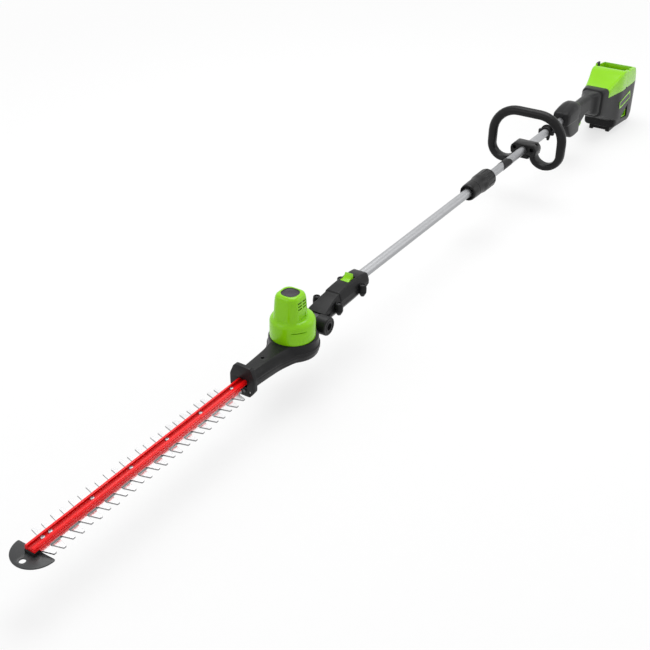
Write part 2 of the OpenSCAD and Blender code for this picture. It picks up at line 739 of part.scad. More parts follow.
// A helical spring standing on z = 0: rings of eight points swept up the helix
module coil(r, wire, length, turns) {
    steps = turns * 12;
    ring = 8;
    points = [for (i = [0:steps]) let(t = i * 30, z = wire / 2 + (length - wire) * i / steps)
        for (k = [0:ring - 1]) let(b = k * 360 / ring, rr = r + wire / 2 * cos(b))
            [rr * cos(t), rr * sin(t), z + wire / 2 * sin(b)]];
    sides = [for (i = [0:steps - 1], k = [0:ring - 1]) let(a = i * ring + k,
        b = i * ring + (k + 1) % ring) [a, b, b + ring, a + ring]];
    caps = [[for (k = [ring - 1:-1:0]) k], [for (k = [0:ring - 1]) steps * ring + k]];
    polyhedron(points, concat(sides, caps), convexity = 8);
}

module lock_spring() pole() color("silver") translate([tube_front - 8, 0, -20]) rotate([0, 90, 0])
    coil(3, 0.9, bolt_back - tube_front + 8, 5);

// ---- Pole ----
module tube(x0, x1, outer, inner) difference() {
    bar_x(x0, x1, outer);
    bar_x(x0 - 1, x1 + 1, inner);
}

module front_tube() pole() color("silver") tube(joint_x + gap, tube_front, tube_r, bore_r);

module rear_tube() pole() color("silver") {
    tube(tube_back, joint_x - gap, tube_r, bore_r);
    tube(joint_x - 7, joint_x - gap, ferrule_d / 2 - 1, tube_r - 0.5);
}

module joint_plug() pole() color("dimgray")
    tube(collar_back - 1, collar_front + 1, bore_r - slip, 2.5 + seat);

module ferrule() pole() color([0.15, 0.15, 0.16]) difference() {
    tube(joint_x + gap, collar_front - 10, ferrule_d / 2, tube_r + seat);
    for (i = [0:4]) translate([joint_x + 8 + 8 * i, 0, 0]) difference() {
        bar_x(0, 3, ferrule_d / 2 + 1);
        bar_x(-1, 4, ferrule_d / 2 - 0.8);
    }
}

// The collar is turned from a profile of (radius, distance from its rear end)
module collar() pole() color([0.13, 0.13, 0.14]) translate([collar_back, 0, 0]) rotate([0, 90, 0])
difference() {
    rear_r = collar_rear_d / 2;
    front_r = collar_front_d / 2;
    rotate_extrude() polygon([[tube_r + gap, 0], [rear_r - 5, 0], [rear_r - 1.5, 2], [rear_r, 6],
        [rear_r, 52], [front_r + 0.6, 66], [front_r + 0.6, 92], [front_r, collar_len - 6],
        [front_r - 2, collar_len], [ferrule_d / 2 + 2, collar_len],
        [ferrule_d / 2 + slip, collar_len - 8], [ferrule_d / 2 + slip, collar_len / 2 - 7.5],
        [tube_r + gap, collar_len / 2 - 7.5]]);
    for (a = [0:30:330]) rotate(a) translate([rear_r + 2.2, 0, 8]) {
        cylinder(r = 3.5, h = 36);
        sphere(r = 3.5);
        translate([0, 0, 36]) sphere(r = 3.5);
    }
}

// The lead runs from the head bracket to the switch, and from the switch to the controller
module pole_lead() pole() color("black") {
    bar_x(switch_x + 2, tube_front + 4, 2.5);
    bar_x(controller_x, switch_x - 30, 2.5);
}

module height_band() pole() color([0.05, 0.05, 0.05]) difference() {
    tube(band_x - 30, band_x + 30, tube_r + 0.6, tube_r + seat);
    for (s = [-1, 1]) translate([band_x + s * 30, 0, 0]) rotate(45)
        cube([22, 22, 60], center = true);
}

// ---- Front loop handle ----
// Part of a round bar bent to radius r, in the plane across the pole
module bend(cy, cz, r, from, turn) translate([0, cy, cz]) rotate([90, 0, 90])
    rotate([0, 0, from]) rotate_extrude(angle = turn, $fn = 96) translate([r, 0])
        circle(loop_bar_d / 2, $fn = 32);

lobe_r = 38;
crown_r = 66;
lobe_y = loop_half - lobe_r;
crown_y = loop_half - crown_r;
crown_z = loop_rise - crown_r;

module loop_screw_places() for (x = [-11, 11], s = [-1, 1])
    translate([loop_x + x, s * 13.2, 0]) children();

module loop_handle() pole() color([0.12, 0.12, 0.13]) difference() {
    union() {
        translate([loop_x, 0, 0]) {
            bar_r = loop_bar_d / 2;
            translate([0, 0, loop_rise]) bar_y(-crown_y - 1, crown_y + 1, bar_r + 0.15);
            for (s = [0, 1]) mirror([0, s, 0]) {
                bend(crown_y, crown_z, crown_r, 0, 90);
                translate([0, loop_half, 0]) bar_z(-1, crown_z + 1, bar_r + 0.15);
                bend(lobe_y, 0, lobe_r, -135, 135);
                translate([0, lobe_y - lobe_r * sqrt(0.5), -lobe_r * sqrt(0.5)]) {
                    sphere(r = bar_r - 0.05);
                    rotate([5, 0, 0]) cylinder(r = bar_r - 0.6, h = 24);
                }
            }
            along_x(-19, 19) polygon([[-34, -12], [34, -12], [36, 2], [34, 9], [27, 16.5],
                [-27, 16.5], [-34, 9], [-36, 2]]);
        }
    }
    bar_x(loop_x - 30, loop_x + 30, tube_r + slip);
    block([loop_x - 30, -tube_r - slip, -40], [loop_x + 30, tube_r + slip, 0]);
    block([loop_x - 30, -15.5 - seat, -40], [loop_x + 30, 15.5 + seat, -12]);
    for (s = [-1, 1], t = [-1, 1]) translate([loop_x + t * 14, s * 24, 5])
        bar_x(-6, 6, 5.5);
    translate([loop_x - 2, 27, 0]) bar_z(8, 20, 4);
    loop_screw_places() bar_z(-13, 9, 2 + seat);
}

module loop_saddle() pole() color([0.1, 0.1, 0.11]) difference() {
    union() {
        block([loop_x - 19, -15.5, -22], [loop_x + 19, 15.5, -12 - seat]);
        block([loop_x - 19, -tube_r, -13], [loop_x + 19, tube_r, 0]);
    }
    bar_x(loop_x - 30, loop_x + 30, tube_r + slip);
    loop_screw_places() {
        bar_z(-23, -11, 2 + seat);
        bar_z(-23, -20, 3.6);
    }
}

module loop_screws() pole() color("dimgray") loop_screw_places() {
    bar_z(-22.4, -20, 3.5);
    bar_z(-21, 8, 2);
}

module ring_screw_places() for (s = [-1, 1]) translate([ring_x, s * 17.5, 0]) children();

module strap_ring() pole() color([0.08, 0.08, 0.09]) difference() {
    union() {
        intersection() {
            union() {
                bar_x(ring_x - 8, ring_x + 6, 15);
                bar_x(ring_x - 8, ring_x - 5, 19);
            }
            block([ring_x - 10, -30, 0], [ring_x + 10, 30, 30]);
        }
        block([ring_x - 6, -22, 0], [ring_x + 6, 22, 5]);
        along_x(ring_x - 8, ring_x - 4) polygon([[10, 8], [14, 0], [27, 0], [30, 6], [30, 17],
            [24, 22], [10, 17]]);
    }
    bar_x(ring_x - 10, ring_x + 10, tube_r + seat);
    translate([0, 23, 12]) bar_x(ring_x - 10, ring_x + 10, strap_eye_d / 2);
    ring_screw_places() bar_z(-1, 6, 1.75 + seat);
}

module strap_ring_half() pole() color([0.08, 0.08, 0.09]) difference() {
    union() {
        intersection() {
            bar_x(ring_x - 6, ring_x + 6, 15);
            block([ring_x - 10, -30, -30], [ring_x + 10, 30, -seat]);
        }
        block([ring_x - 6, -22, -5], [ring_x + 6, 22, -seat]);
        along_x(ring_x - 2, ring_x + 2) polygon([[2, -12], [12, -9], [10, -22], [4, -22]]);
    }
    bar_x(ring_x - 10, ring_x + 10, tube_r + seat);
    ring_screw_places() bar_z(-6, 1, 1.75 + seat);
}

module ring_screws() pole() color("dimgray") ring_screw_places() {
    bar_z(5, 7, 3.2);
    bar_z(-4.8, 6, 1.75);
}

// ---- Rear handle ----
module handle_form() {
    hull() {
        section(handle_front - 0.25, 25, 7, 24, 6, 8);
        section(bulb_x, 27, -30, 37, 14, 20);
    }
    hull() {
        section(bulb_x, 27, -30, 37, 14, 20);
        section(waist_x, grip_half, -28, 20, 12, 12);
    }
    hull() {
        section(waist_x, grip_half, -28, 20, 12, 12);
        section(flare_x, grip_half, -28, 19, 12, 12);
    }
    hull() {
        section(flare_x, grip_half, -28, 19, 12, 12);
        section(handle_back + 0.25, 29, -55, 19, 14, 12);
    }
    hull() {
        section(handle_front - 68, 15, -60, -20, 6, 6);
        section(waist_x - 2, 17, -66, -20, 6, 6);
    }
    across_y(-13.6, 13.6) polygon([[waist_x, -18], [waist_x, -63], [waist_x - 6, -48],
        [flare_x + 3, -29], [flare_x + 3, -18]]);
}

module handle_room() {
    bar_x(tube_back, handle_front + 1, tube_r + seat);
    block([handle_front - 91, -15, -22], [tube_back + 1, 15, 21]);
    block([handle_back - 1, -12.5, -25], [handle_front - 90, 12.5, 16]);
    block([handle_back - 1, -21, -42], [handle_back + 22, 21, 14]);
    block([switch_x - 9, -7.4, -80], [waist_x - 2, 7.4, -10]);
    block([handle_front - 84, -10, -56], [handle_front - 78, 10, -30]);
}

// Bars across the inside that hold the switch and the upper end of the trigger spring
module handle_ribs() {
    block([switch_x - 27, -13, -3.5], [switch_x - 3, 13, 10]);
    block([lock_x - 8, -13, trigger_z + 5 + trigger_spring_len], [lock_x + 6, 13, -3.2]);
}

// Screw axes as (x behind the handle's front, z, depth of the head)
handle_screw_list = [[36, 24, 19], [98, -56, 11], [103, 9, 11], [handle_len - 21, -36, 21],
    [handle_len - 21, 8, 19]];

module handle_screw_places() for (h = handle_screw_list)
    translate([handle_front - h[0], -h[2], h[1]]) children();

module handle_shell() difference() {
    handle_form();
    difference() {
        handle_room();
        handle_ribs();
        handle_screw_places() bar_y(-8, 38, 4);
    }
    bar_x(tube_back, handle_front + 1, tube_r + seat);
    bar_x(handle_back - 1, tube_back + 1, 2.5 + seat);
    handle_screw_places() {
        bar_y(-20, 0, 3.4);
        bar_y(-1, 18, 1.75 + seat);
    }
    block([switch_x - 30 - seat, -8 - seat, -4 - seat], [switch_x + 2 + seat, 8 + seat, 10 + seat]);
    translate([trigger_x, 0, trigger_z]) bar_y(-14.2 - seat, 14.2 + seat, 2.5 + seat);
    translate([lock_x, 0, 4]) bar_y(-beyond, -8, 5.5 + slip);
}

module handle_left() pole() color([0.19, 0.19, 0.2]) intersection() {
    handle_shell();
    block([handle_back - 1, 0, -beyond], [handle_front + 1, beyond, beyond]);
}

module handle_right() pole() color([0.19, 0.19, 0.2]) intersection() {
    handle_shell();
    block([handle_back - 1, -beyond, -beyond], [handle_front + 1, 0, beyond]);
}

module handle_screws() pole() color("dimgray") handle_screw_places() {
    bar_y(-2.2, 0, 3.3);
    bar_y(-1, 16, 1.75);
}

module trigger() pole() color("yellowgreen") difference() {
    across_y(-7, 7) translate([trigger_x, trigger_z]) {
        circle(5);
        polygon([[0, 5], [-41, 5], [-47, -1], [-47, -9], [-37, -16], [-31, -28], [-33, -37],
            [-25, -42], [-13, -38], [-5, -25], [2, -12], [4, -3]]);
    }
    translate([trigger_x, 0, trigger_z]) bar_y(-8, 8, 2.5 + slip);
}

module trigger_pin() pole() color("silver")
    translate([trigger_x, 0, trigger_z]) bar_y(-14.2, 14.2, 2.5);

module trigger_spring() pole() color("silver") translate([lock_x - 1, 0, trigger_z + 5])
    coil(2.6, 0.7, trigger_spring_len, 4);

module switch() pole() color("black") {
    block([switch_x - 30, -8, -4], [switch_x + 2, 8, 10]);
    block([switch_x - 6, -3, 10], [switch_x - 2, 3, 14]);
    block([switch_x - 26, -3, 10], [switch_x - 22, 3, 14]);
}

module lock_button() pole() color([0.3, 0.3, 0.31]) translate([lock_x, 0, 4]) difference() {
    bar_y(-grip_half - lock_travel - 1, -9.5, 5.5);
    translate([0, -grip_half - lock_travel - 7, 0]) sphere(r = 7.5);
}

// ---- Battery housing ----
module housing_form() {
    hull() {
        section(handle_back - 0.25, 29, -55, 19, 14, 12);
        section(shoulder_x, 38, -72, 18, 14, 11);
    }
    hull() {
        section(shoulder_x, 38, -72, 18, 14, 11);
        section(rim_front, housing_half, -112, 51, 16, 5);
    }
    hull() {
        section(rim_front, housing_half, -112, 51, 16, 5);
        section(rim_back, housing_half, -134, 39, 14, 5);
    }
    hull() {
        section(rim_back, housing_half, -134, 39, 14, 5);
        section(housing_back + 0.25, housing_half - 5, -116, -11, 14, 10);
    }
    hull() {
        section(rim_front + 26, housing_half - 4, -124, -92, 12, 8);
        section(rim_back - 12, housing_half - 2, -134, -92, 12, 8);
    }
}

// The bay, or the pocket for its lining, which is wider by wall on every side
module bay(wall) block([bay_back - wall, -bay_half - wall, bay_floor - wall],
    [bay_front + wall, bay_half + wall, beyond]);

module side_window(inset) for (s = [0, 1]) mirror([0, s, 0])
    across_y(bay_half - 4, housing_half + 6) polygon([[bay_front - 6 - inset, -102 + inset],
        [bay_back + 14 + inset, -111 + inset], [bay_back + 20 + inset, -70 - 2 * inset]]);

module latch_pocket()
    block([latch_x - 8 - gap, -bay_half - 5.5 - gap, latch_z - latch_spring_len],
        [latch_x + 8 + gap, -bay_half + 1, beyond]);

module housing_body() pole() color([0.2, 0.2, 0.21]) difference() {
    union() {
        intersection() {
            housing_form();
            union() {
                block([housing_back - 1, -beyond, -beyond], [handle_back, beyond, split_top]);
                block([shoulder_x, -beyond, split_top - 1], [handle_back, beyond, beyond]);
            }
        }
        for (s = [-1, 1]) block([bay_back + 8, s * 26 - 6, foot_z], [rim_front + 18, s * 26 + 6, -118]);
        block([rim_front + 6, -32, foot_z], [rim_front + 18, 32, -118]);
    }
    bay(2 + seat);
    side_window(0);
    block([rim_front + 3, -33, -62], [shoulder_x - 2, 33, 0]);
    // Rooms beside the ribs that carry the controller, and behind the bay
    for (y = [[-33, -20], [-16, 16], [20, 33]]) across_y(y[0], y[1])
        polygon([[rim_front + 3, -61], [rim_front + 3, -104], [shoulder_x - 12, -68],
            [shoulder_x - 12, -61]]);
    block([housing_back + 8, -36, -106], [bay_back - 8, 36, split_top + 1]);
    bar_x(shoulder_x - 3, handle_back + 1, 2.5 + seat);
    block([handle_back - 24, -21, -42], [handle_back + 1, 21, 10]);
}

module housing_top() pole() color("yellowgreen") difference() {
    union() {
        intersection() {
            housing_form();
            block([housing_back - 1, -beyond, split_top + seat],
                [shoulder_x - seat, beyond, beyond]);
        }
        block([bay_back - 2, -bay_half - 2, bay_floor - 2],
            [bay_front + 2, bay_half + 2, split_top + 1]);
        block([latch_x - 14, -housing_half + 1, 30], [latch_x + 11, -bay_half - 1, 54]);
    }
    bay(0);
    side_window(4);
    latch_pocket();
    block([bay_back + 45, bay_half - 1, 43], [bay_back + 63, housing_half + 6, 60]);
    across_y(-33, 33) polygon([[rim_front + 4, split_top - 1], [rim_front + 4, 42],
        [shoulder_x - 16, 15], [shoulder_x - 16, split_top - 1]]);
    bar_x(shoulder_x - 17, shoulder_x + 1, 2.5 + seat);
}

module controller() pole() color("seagreen") {
    block([rim_front + 6, -28, -62], [controller_x, 28, -44]);
    block([controller_x - 14, -8, -44], [controller_x, 8, 6]);
    for (i = [0:3]) translate([rim_front + 20, 12 * i - 18, 0]) bar_z(-44, -24, 5);
}

module terminal_block() pole() color("black") {
    block([bay_back + 30, -24, bay_floor], [bay_back + 54, 24, bay_floor + 14]);
    for (i = [0:3]) block([bay_back + 34, 13 * i - 20, bay_floor + 14],
        [bay_back + 50, 13 * i - 19, bay_floor + 30]);
}

module battery_latch() pole() color([0.25, 0.23, 0.28]) {
    block([latch_x - 8, -bay_half - 5.5, latch_z], [latch_x + 8, -bay_half + 0.5, 53]);
    along_x(latch_x - 6, latch_x + 6) polygon([[-bay_half, 24], [-bay_half + 4, 27],
        [-bay_half + 4, 31], [-bay_half, 37]]);
}

module latch_spring() pole() color("silver")
    translate([latch_x, -bay_half - 2.6, latch_z - latch_spring_len])
        coil(2, 0.7, latch_spring_len, 7);

// ---- Drawing ----
blade_rail();
upper_blade();
lower_blade();
blade_bolts();
blade_nuts();
tip_spacer();
tip_plate();
hand_guard();
gear_case_top();
gear_case_bottom();
case_screws();
gear_plate();
crank_gear();
crankshaft();
upper_rod();
lower_rod();
pinion();
rotor();
fan();
stator();
bearings();
motor_cover();
cover_cap();
pivot_knuckle();
pivot_bolt();
pivot_nut_cap();
pivot_yoke();
bracket_upper();
bracket_lower();
bracket_screws();
release_button();
lock_bar();
lock_spring();
front_tube();
rear_tube();
joint_plug();
ferrule();
collar();
pole_lead();
height_band();
loop_handle();
loop_saddle();
loop_screws();
strap_ring();
strap_ring_half();
ring_screws();
handle_left();
handle_right();
handle_screws();
trigger();
trigger_pin();
trigger_spring();
switch();
lock_button();
housing_body();
housing_top();
controller();
terminal_block();
battery_latch();
latch_spring();
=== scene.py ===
"""Looks of a cordless pole hedge trimmer, built around its packed construction model.

Pieces are modelled in millimetres in pole coordinates, where X runs along the pole from the head
pivot to the blade tip, Y to the operator's left and Z up from the pole axis. Piece.finish moves a
piece to the frame in metres that the construction model uses.
"""

import logging
import math
from dataclasses import dataclass, field
from enum import Enum
from typing import Any, Callable, Dict, Iterable, List, Optional, Sequence, Tuple

import bmesh
import bpy
from mathutils import Matrix, Vector

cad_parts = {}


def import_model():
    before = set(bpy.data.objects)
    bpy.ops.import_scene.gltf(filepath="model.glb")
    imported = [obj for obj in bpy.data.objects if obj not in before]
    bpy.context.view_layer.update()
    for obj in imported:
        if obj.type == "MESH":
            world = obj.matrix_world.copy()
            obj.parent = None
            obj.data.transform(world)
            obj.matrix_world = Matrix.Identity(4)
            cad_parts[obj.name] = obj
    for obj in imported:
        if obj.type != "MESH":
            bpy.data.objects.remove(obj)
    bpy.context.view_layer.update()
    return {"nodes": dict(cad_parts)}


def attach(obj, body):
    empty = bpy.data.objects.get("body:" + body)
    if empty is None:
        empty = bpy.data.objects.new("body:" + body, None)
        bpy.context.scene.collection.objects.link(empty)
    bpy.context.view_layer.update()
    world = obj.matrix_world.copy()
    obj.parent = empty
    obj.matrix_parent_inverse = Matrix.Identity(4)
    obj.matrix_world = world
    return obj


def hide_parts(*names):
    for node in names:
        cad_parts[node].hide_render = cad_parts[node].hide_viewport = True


LOG = logging.getLogger("pole_trimmer")
# Where the head pivot lies in the frame, in millimetres
PIVOT_X = 507.75
AXIS_Z = 140.0
# Moves that a boolean is tried with, and the share of volume by which a good result may differ
NUDGES = (0.0, 0.013, -0.021, 0.034)
SLACK = 0.005
# Flats in a rounded corner, and the radius at which a turned piece closes on its axis
CORNER_FLATS = 4
ON_AXIS = 0.001
Point = Tuple[float, float, float]
Flat = Tuple[float, float]


def at(x: float, y: float, z: float) -> Point:
    """Turns pole coordinates in millimetres into the frame's metres."""
    return ((x + PIVOT_X) / 1000, y / 1000, (z + AXIS_Z) / 1000)


class Axis(Enum):
    """The axis that a round or extruded piece is built along."""

    X = 0
    Y = 1
    Z = 2

    @property
    def turn(self) -> Point:
        """Rotation that brings a primitive's own Z axis to this axis."""
        half = math.pi / 2
        return {0: (0.0, half, 0.0), 1: (-half, 0.0, 0.0), 2: (0.0, 0.0, 0.0)}[self.value]

    def vector(self, amount: float) -> Point:
        """A move by amount along this axis."""
        return tuple(amount if i == self.value else 0.0 for i in range(3))

    def across(self, amount: float) -> Point:
        """A scaling by amount in the two directions across this axis."""
        return tuple(1.0 if i == self.value else amount for i in range(3))

    def place(self, flat: Flat, along: float) -> Point:
        """A point from its two coordinates across the axis and its station along it.

        Args:
            flat: (Y, Z) for the X axis, (X, Z) for the Y axis and (X, Y) for the Z axis.
            along: station along the axis.

        Returns:
            The point in pole coordinates.
        """
        values = list(flat)
        values.insert(self.value, along)
        return tuple(values)


def eased(stations: Sequence[Sequence[float]], step: float) -> List[Sequence[float]]:
    """Stations at closer steps on a smooth course through the given ones.

    Args:
        stations: rows of numbers, each row led by its place along the piece.
        step: distance between two rows of the result.

    Returns:
        The rows, which pass through the given ones and never overshoot them.
    """
    slopes = []
    for k in range(1, len(stations[0])):
        rise = [(b[k] - a[k]) / (b[0] - a[0]) for a, b in zip(stations, stations[1:])]
        inner = [0.0 if p * q <= 0 else 2 * p * q / (p + q) for p, q in zip(rise, rise[1:])]
        slopes.append([rise[0], *inner, rise[-1]])
    rows = []
    for i, (a, b) in enumerate(zip(stations, stations[1:])):
        width = b[0] - a[0]
        count = max(1, round(abs(width) / step))
        for t in (j / count for j in range(count)):
            row = [a[0] + width * t]
            for k, slope in enumerate(slopes, 1):
                row.append(a[k] * (1 + 2 * t) * (1 - t) ** 2 + b[k] * t * t * (3 - 2 * t)
                           + width * t * (1 - t) * (slope[i] * (1 - t) - slope[i + 1] * t))
            rows.append(row)
    return rows + [stations[-1]]


def arc(centre: Flat, radius: float, start: float, end: float, steps: int = 5) -> List[Flat]:
    """Points on an arc between two angles in degrees."""
    angles = [math.radians(start + (end - start) * i / steps) for i in range(steps + 1)]
    return [(centre[0] + radius * math.cos(a), centre[1] + radius * math.sin(a)) for a in angles]


def rounded(half: float, low: float, high: float, low_r: float, top_r: float,
            steps: int = CORNER_FLATS) -> List[Flat]:
    """Outline of a section that is symmetric left and right, with rounded corners.

    Args:
        half: half of the width.
        low: lowest level.
        high: highest level.
        low_r: radius of the two lower corners.
        top_r: radius of the two upper corners.
        steps: number of flats in each corner.

    Returns:
        The corners, anticlockwise from the lower right.
    """
    return (arc((half - low_r, low + low_r), low_r, -90, 0, steps)
            + arc((half - top_r, high - top_r), top_r, 0, 90, steps)
            + arc((top_r - half, high - top_r), top_r, 90, 180, steps)
            + arc((low_r - half, low + low_r), low_r, 180, 270, steps))


def eased_sections(rows: Sequence[Sequence[float]],
                   step: float) -> List[Tuple[float, List[Flat]]]:
    """Rounded sections along a smooth course; a row holds a station and rounded's numbers."""
    return [(row[0], rounded(*row[1:])) for row in eased(rows, step)]


def on_side(side: int, near: float, far: float) -> Flat:
    """Two distances from the middle as stations on one side, the lower one first."""
    return tuple(sorted((side * near, side * far)))


def filleted(corners: Sequence[Point]) -> List[Flat]:
    """An outline whose corners are rounded.

    Args:
        corners: the two coordinates of each corner and its radius, 0 where it stays sharp.

    Returns:
        The points of the outline.
    """
    points = []
    for last, (x, y, radius), following in zip([corners[-1], *corners], corners,
                                               [*corners[1:], corners[0]]):
        here = Vector((x, y))
        if not radius:
            points.append((x, y))
            continue
        back, ahead = Vector(last[:2]) - here, Vector(following[:2]) - here
        reach = min(radius / math.tan(back.angle(ahead) / 2), 0.49 * back.length,
                    0.49 * ahead.length)
        start, end = here + back.normalized() * reach, here + ahead.normalized() * reach
        for t in (i / CORNER_FLATS for i in range(CORNER_FLATS + 1)):
            point = start * (1 - t) ** 2 + here * (2 * t * (1 - t)) + end * t * t
            points.append((point.x, point.y))
    return points


# ---------------------------------------------------------------------------------------------
# Modelling bench
# ---------------------------------------------------------------------------------------------
def nothing_selected() -> None:
    """Deselects every object."""
    if bpy.context.object and bpy.context.object.mode != "OBJECT":
        bpy.ops.object.mode_set(mode="OBJECT")
    bpy.ops.object.select_all(action="DESELECT")


class Piece:
    """One mesh under construction, shaped with edit mode operators in pole coordinates."""

    def __init__(self, obj: bpy.types.Object, name: str) -> None:
        """Takes over a fresh primitive.

        Args:
            obj: the object that a primitive operator has just added.
            name: name of the piece.
        """
        self.obj = obj
        obj.name = name
        obj.data.name = name
        self.activate()
        bpy.ops.object.transform_apply(location=True, rotation=True, scale=True)

    # -- starting shapes ------------------------------------------------------------------
    @classmethod
    def block(cls, name: str, low: Point, high: Point) -> "Piece":
        """A box between two corners, as a start for further shaping."""
        nothing_selected()
        middle = [(a + b) / 2 for a, b in zip(low, high)]
        size = [b - a for a, b in zip(low, high)]
        bpy.ops.mesh.primitive_cube_add(size=1, location=middle, scale=size)
        return cls(bpy.context.object, name)

    @classmethod
    def bar(cls, name: str, axis: Axis, flat: Flat, ends: Flat, radius: float,
            sides: int = 32) -> "Piece":
        """A round bar along an axis.

        Args:
            name: name of the piece.
            axis: direction of the bar.
            flat: where its axis lies, in the two directions across.
            ends: its two stations along the axis.
            radius: radius of the bar.
            sides: number of flats round it.

        Returns:
            The closed bar.
        """
        nothing_selected()
        bpy.ops.mesh.primitive_cone_add(
            vertices=sides, radius1=radius, radius2=radius, depth=ends[1] - ends[0],
            location=axis.place(flat, sum(ends) / 2), rotation=axis.turn)
        return cls(bpy.context.object, name)

    @classmethod
    def bars(cls, name: str, axis: Axis, flats: Sequence[Flat], ends: Flat, radius: float,
             sides: int = 24) -> "Piece":
        """Several equal bars side by side, as one piece."""
        start = Vector(axis.place(flats[0], 0))
        bars = cls.bar(name, axis, flats[0], ends, radius, sides)
        return bars.copied(*[Vector(axis.place(flat, 0)) - start for flat in flats[1:]])

    @classmethod
    def ring(cls, name: str, axis: Axis, flat: Flat, along: float, radius: float,
             sides: int = 48) -> "Piece":
        """An open ring of edges across an axis, the start of a turned piece or a bent bar."""
        nothing_selected()
        bpy.ops.mesh.primitive_circle_add(
            vertices=sides, radius=radius, location=axis.place(flat, along), rotation=axis.turn)
        return cls(bpy.context.object, name)

    @classmethod
    def turned(cls, name: str, axis: Axis, flat: Flat, profile: Sequence[Flat],
               sides: int = 64, closed: bool = False) -> "Piece":
        """A turned piece, drawn out of a ring station by station.

        Args:
            name: name of the piece.
            axis: axis of the turned form.
            flat: where the axis lies, in the two directions across.
            profile: pairs of radius and station along the axis.
            sides: number of flats round it.
            closed: True where the last station returns to the first, as on a hollow collar.

        Returns:
            The closed piece.
        """
        piece = cls.ring(name, axis, flat, profile[0][1], profile[0][0], sides)
        piece.edit()
        bpy.ops.mesh.select_mode(type="VERT")
        bpy.ops.mesh.select_all(action="SELECT")
        stations = list(profile[1:]) + ([profile[0]] if closed else [])
        radius, along = profile[0]
        for new_radius, new_along in stations:
            bpy.ops.mesh.extrude_region_move(
                TRANSFORM_OT_translate={"value": axis.vector(new_along - along)})
            bpy.ops.transform.resize(value=axis.across(max(new_radius, 1e-4) / radius),
                                     center_override=axis.place(flat, new_along))
            radius, along = max(new_radius, 1e-4), new_along
        bpy.ops.mesh.select_all(action="SELECT")
        bpy.ops.mesh.remove_doubles(threshold=0.002)
        if not closed:
            piece.fill_rims()
        return piece.outwards()

    @classmethod
    def skinned(cls, name: str, rings: Sequence[Sequence[Point]]) -> "Piece":
        """A piece drawn out ring by ring, each new ring's corners moved to their places.

        Args:
            name: name of the piece.
            rings: corners of each ring, the same number in each, in the same order.

        Returns:
            The piece, closed at both ends.
        """
        nothing_selected()
        count = len(rings[0])
        bpy.ops.mesh.primitive_circle_add(vertices=count, radius=1, fill_type="NGON")
        piece = cls(bpy.context.object, name)
        piece.edit()
        bpy.ops.mesh.select_mode(type="VERT")
        mesh = bmesh.from_edit_mesh(piece.obj.data)
        corners, places = list(range(count)), [vertex.co.copy() for vertex in mesh.verts]
        for index, ring in enumerate(rings):
            targets = [Vector(corner) for corner in ring]
            if index:
                step = (sum(targets, Vector()) - sum(places, Vector())) / count
                piece.pick_corners(corners)
                bpy.ops.mesh.extrude_region_move(TRANSFORM_OT_translate={"value": step})
                mesh = bmesh.from_edit_mesh(piece.obj.data)
                fresh = [(v.index, v.co.copy()) for v in mesh.verts if v.select]
                corners = [min(fresh, key=lambda f: (f[1] - place - step).length_squared)[0]
                           for place in places]
                places = [place + step for place in places]
            for corner, place, target in zip(corners, places, targets):
                if (target - place).length > 1e-4:
                    piece.pick_corners([corner])
                    bpy.ops.transform.translate(value=target - place)
            places = targets
        return piece.outwards()

    def pick_corners(self, corners: Sequence[int]) -> None:
        """Selects vertices by number."""
        bpy.ops.mesh.select_all(action="DESELECT")
        mesh = bmesh.from_edit_mesh(self.obj.data)
        mesh.verts.ensure_lookup_table()
        for corner in corners:
            mesh.verts[corner].select_set(True)
        mesh.select_flush_mode()
        bmesh.update_edit_mesh(self.obj.data)

    @classmethod
    def shaped(cls, name: str, axis: Axis,
               sections: Sequence[Tuple[float, Sequence[Flat]]]) -> "Piece":
        """A piece through sections across an axis, each a station and its outline."""
        return cls.skinned(name, [[axis.place(corner, along) for corner in outline]
                                  for along, outline in sections])

    @classmethod
    def drawn(cls, name: str, axis: Axis, outline: Sequence[Flat], ends: Flat) -> "Piece":
        """A straight piece drawn out from one outline between two stations."""
        return cls.shaped(name, axis, [(ends[0], outline), (ends[1], outline)])

    # -- edit mode ------------------------------------------------------------------------
    def activate(self) -> "Piece":
        """Makes this the only selected and the active object, in object mode."""
        nothing_selected()
        self.obj.select_set(True)
        bpy.context.view_layer.objects.active = self.obj
        return self

    def edit(self) -> "Piece":
        """Enters edit mode on this piece."""
        if bpy.context.object is not self.obj or self.obj.mode != "EDIT":
            self.activate()
            bpy.ops.object.mode_set(mode="EDIT")
        return self

    def pick_faces(self, test: Callable[[Vector, Vector], bool]) -> "Piece":
        """Selects the faces whose centre and normal pass a test."""
        self.edit()
        bpy.ops.mesh.select_mode(type="FACE")
        mesh = bmesh.from_edit_mesh(self.obj.data)
        for face in mesh.faces:
            face.select_set(test(face.calc_center_median(), face.normal))
        mesh.select_flush_mode()
        bmesh.update_edit_mesh(self.obj.data)
        return self

    def pick_edges(self, test: Callable[[Vector, Vector], bool]) -> "Piece":
        """Selects the edges whose two ends pass a test."""
        self.edit()
        bpy.ops.mesh.select_mode(type="EDGE")
        bpy.ops.mesh.select_all(action="DESELECT")
        mesh = bmesh.from_edit_mesh(self.obj.data)
        for edge in mesh.edges:
            edge.select_set(test(edge.verts[0].co, edge.verts[1].co))
        bmesh.update_edit_mesh(self.obj.data)
        return self

    def fill_rims(self) -> "Piece":
        """Closes the open rims of a turned piece with flat faces."""
        self.edit()
        bpy.ops.mesh.select_mode(type="EDGE")
        mesh = bmesh.from_edit_mesh(self.obj.data)
        open_edges = [edge for edge in mesh.edges if edge.is_boundary]
        if open_edges:
            bpy.ops.mesh.select_all(action="DESELECT")
            for edge in open_edges:
                edge.select_set(True)
            bmesh.update_edit_mesh(self.obj.data)
            bpy.ops.mesh.edge_face_add()
        return self

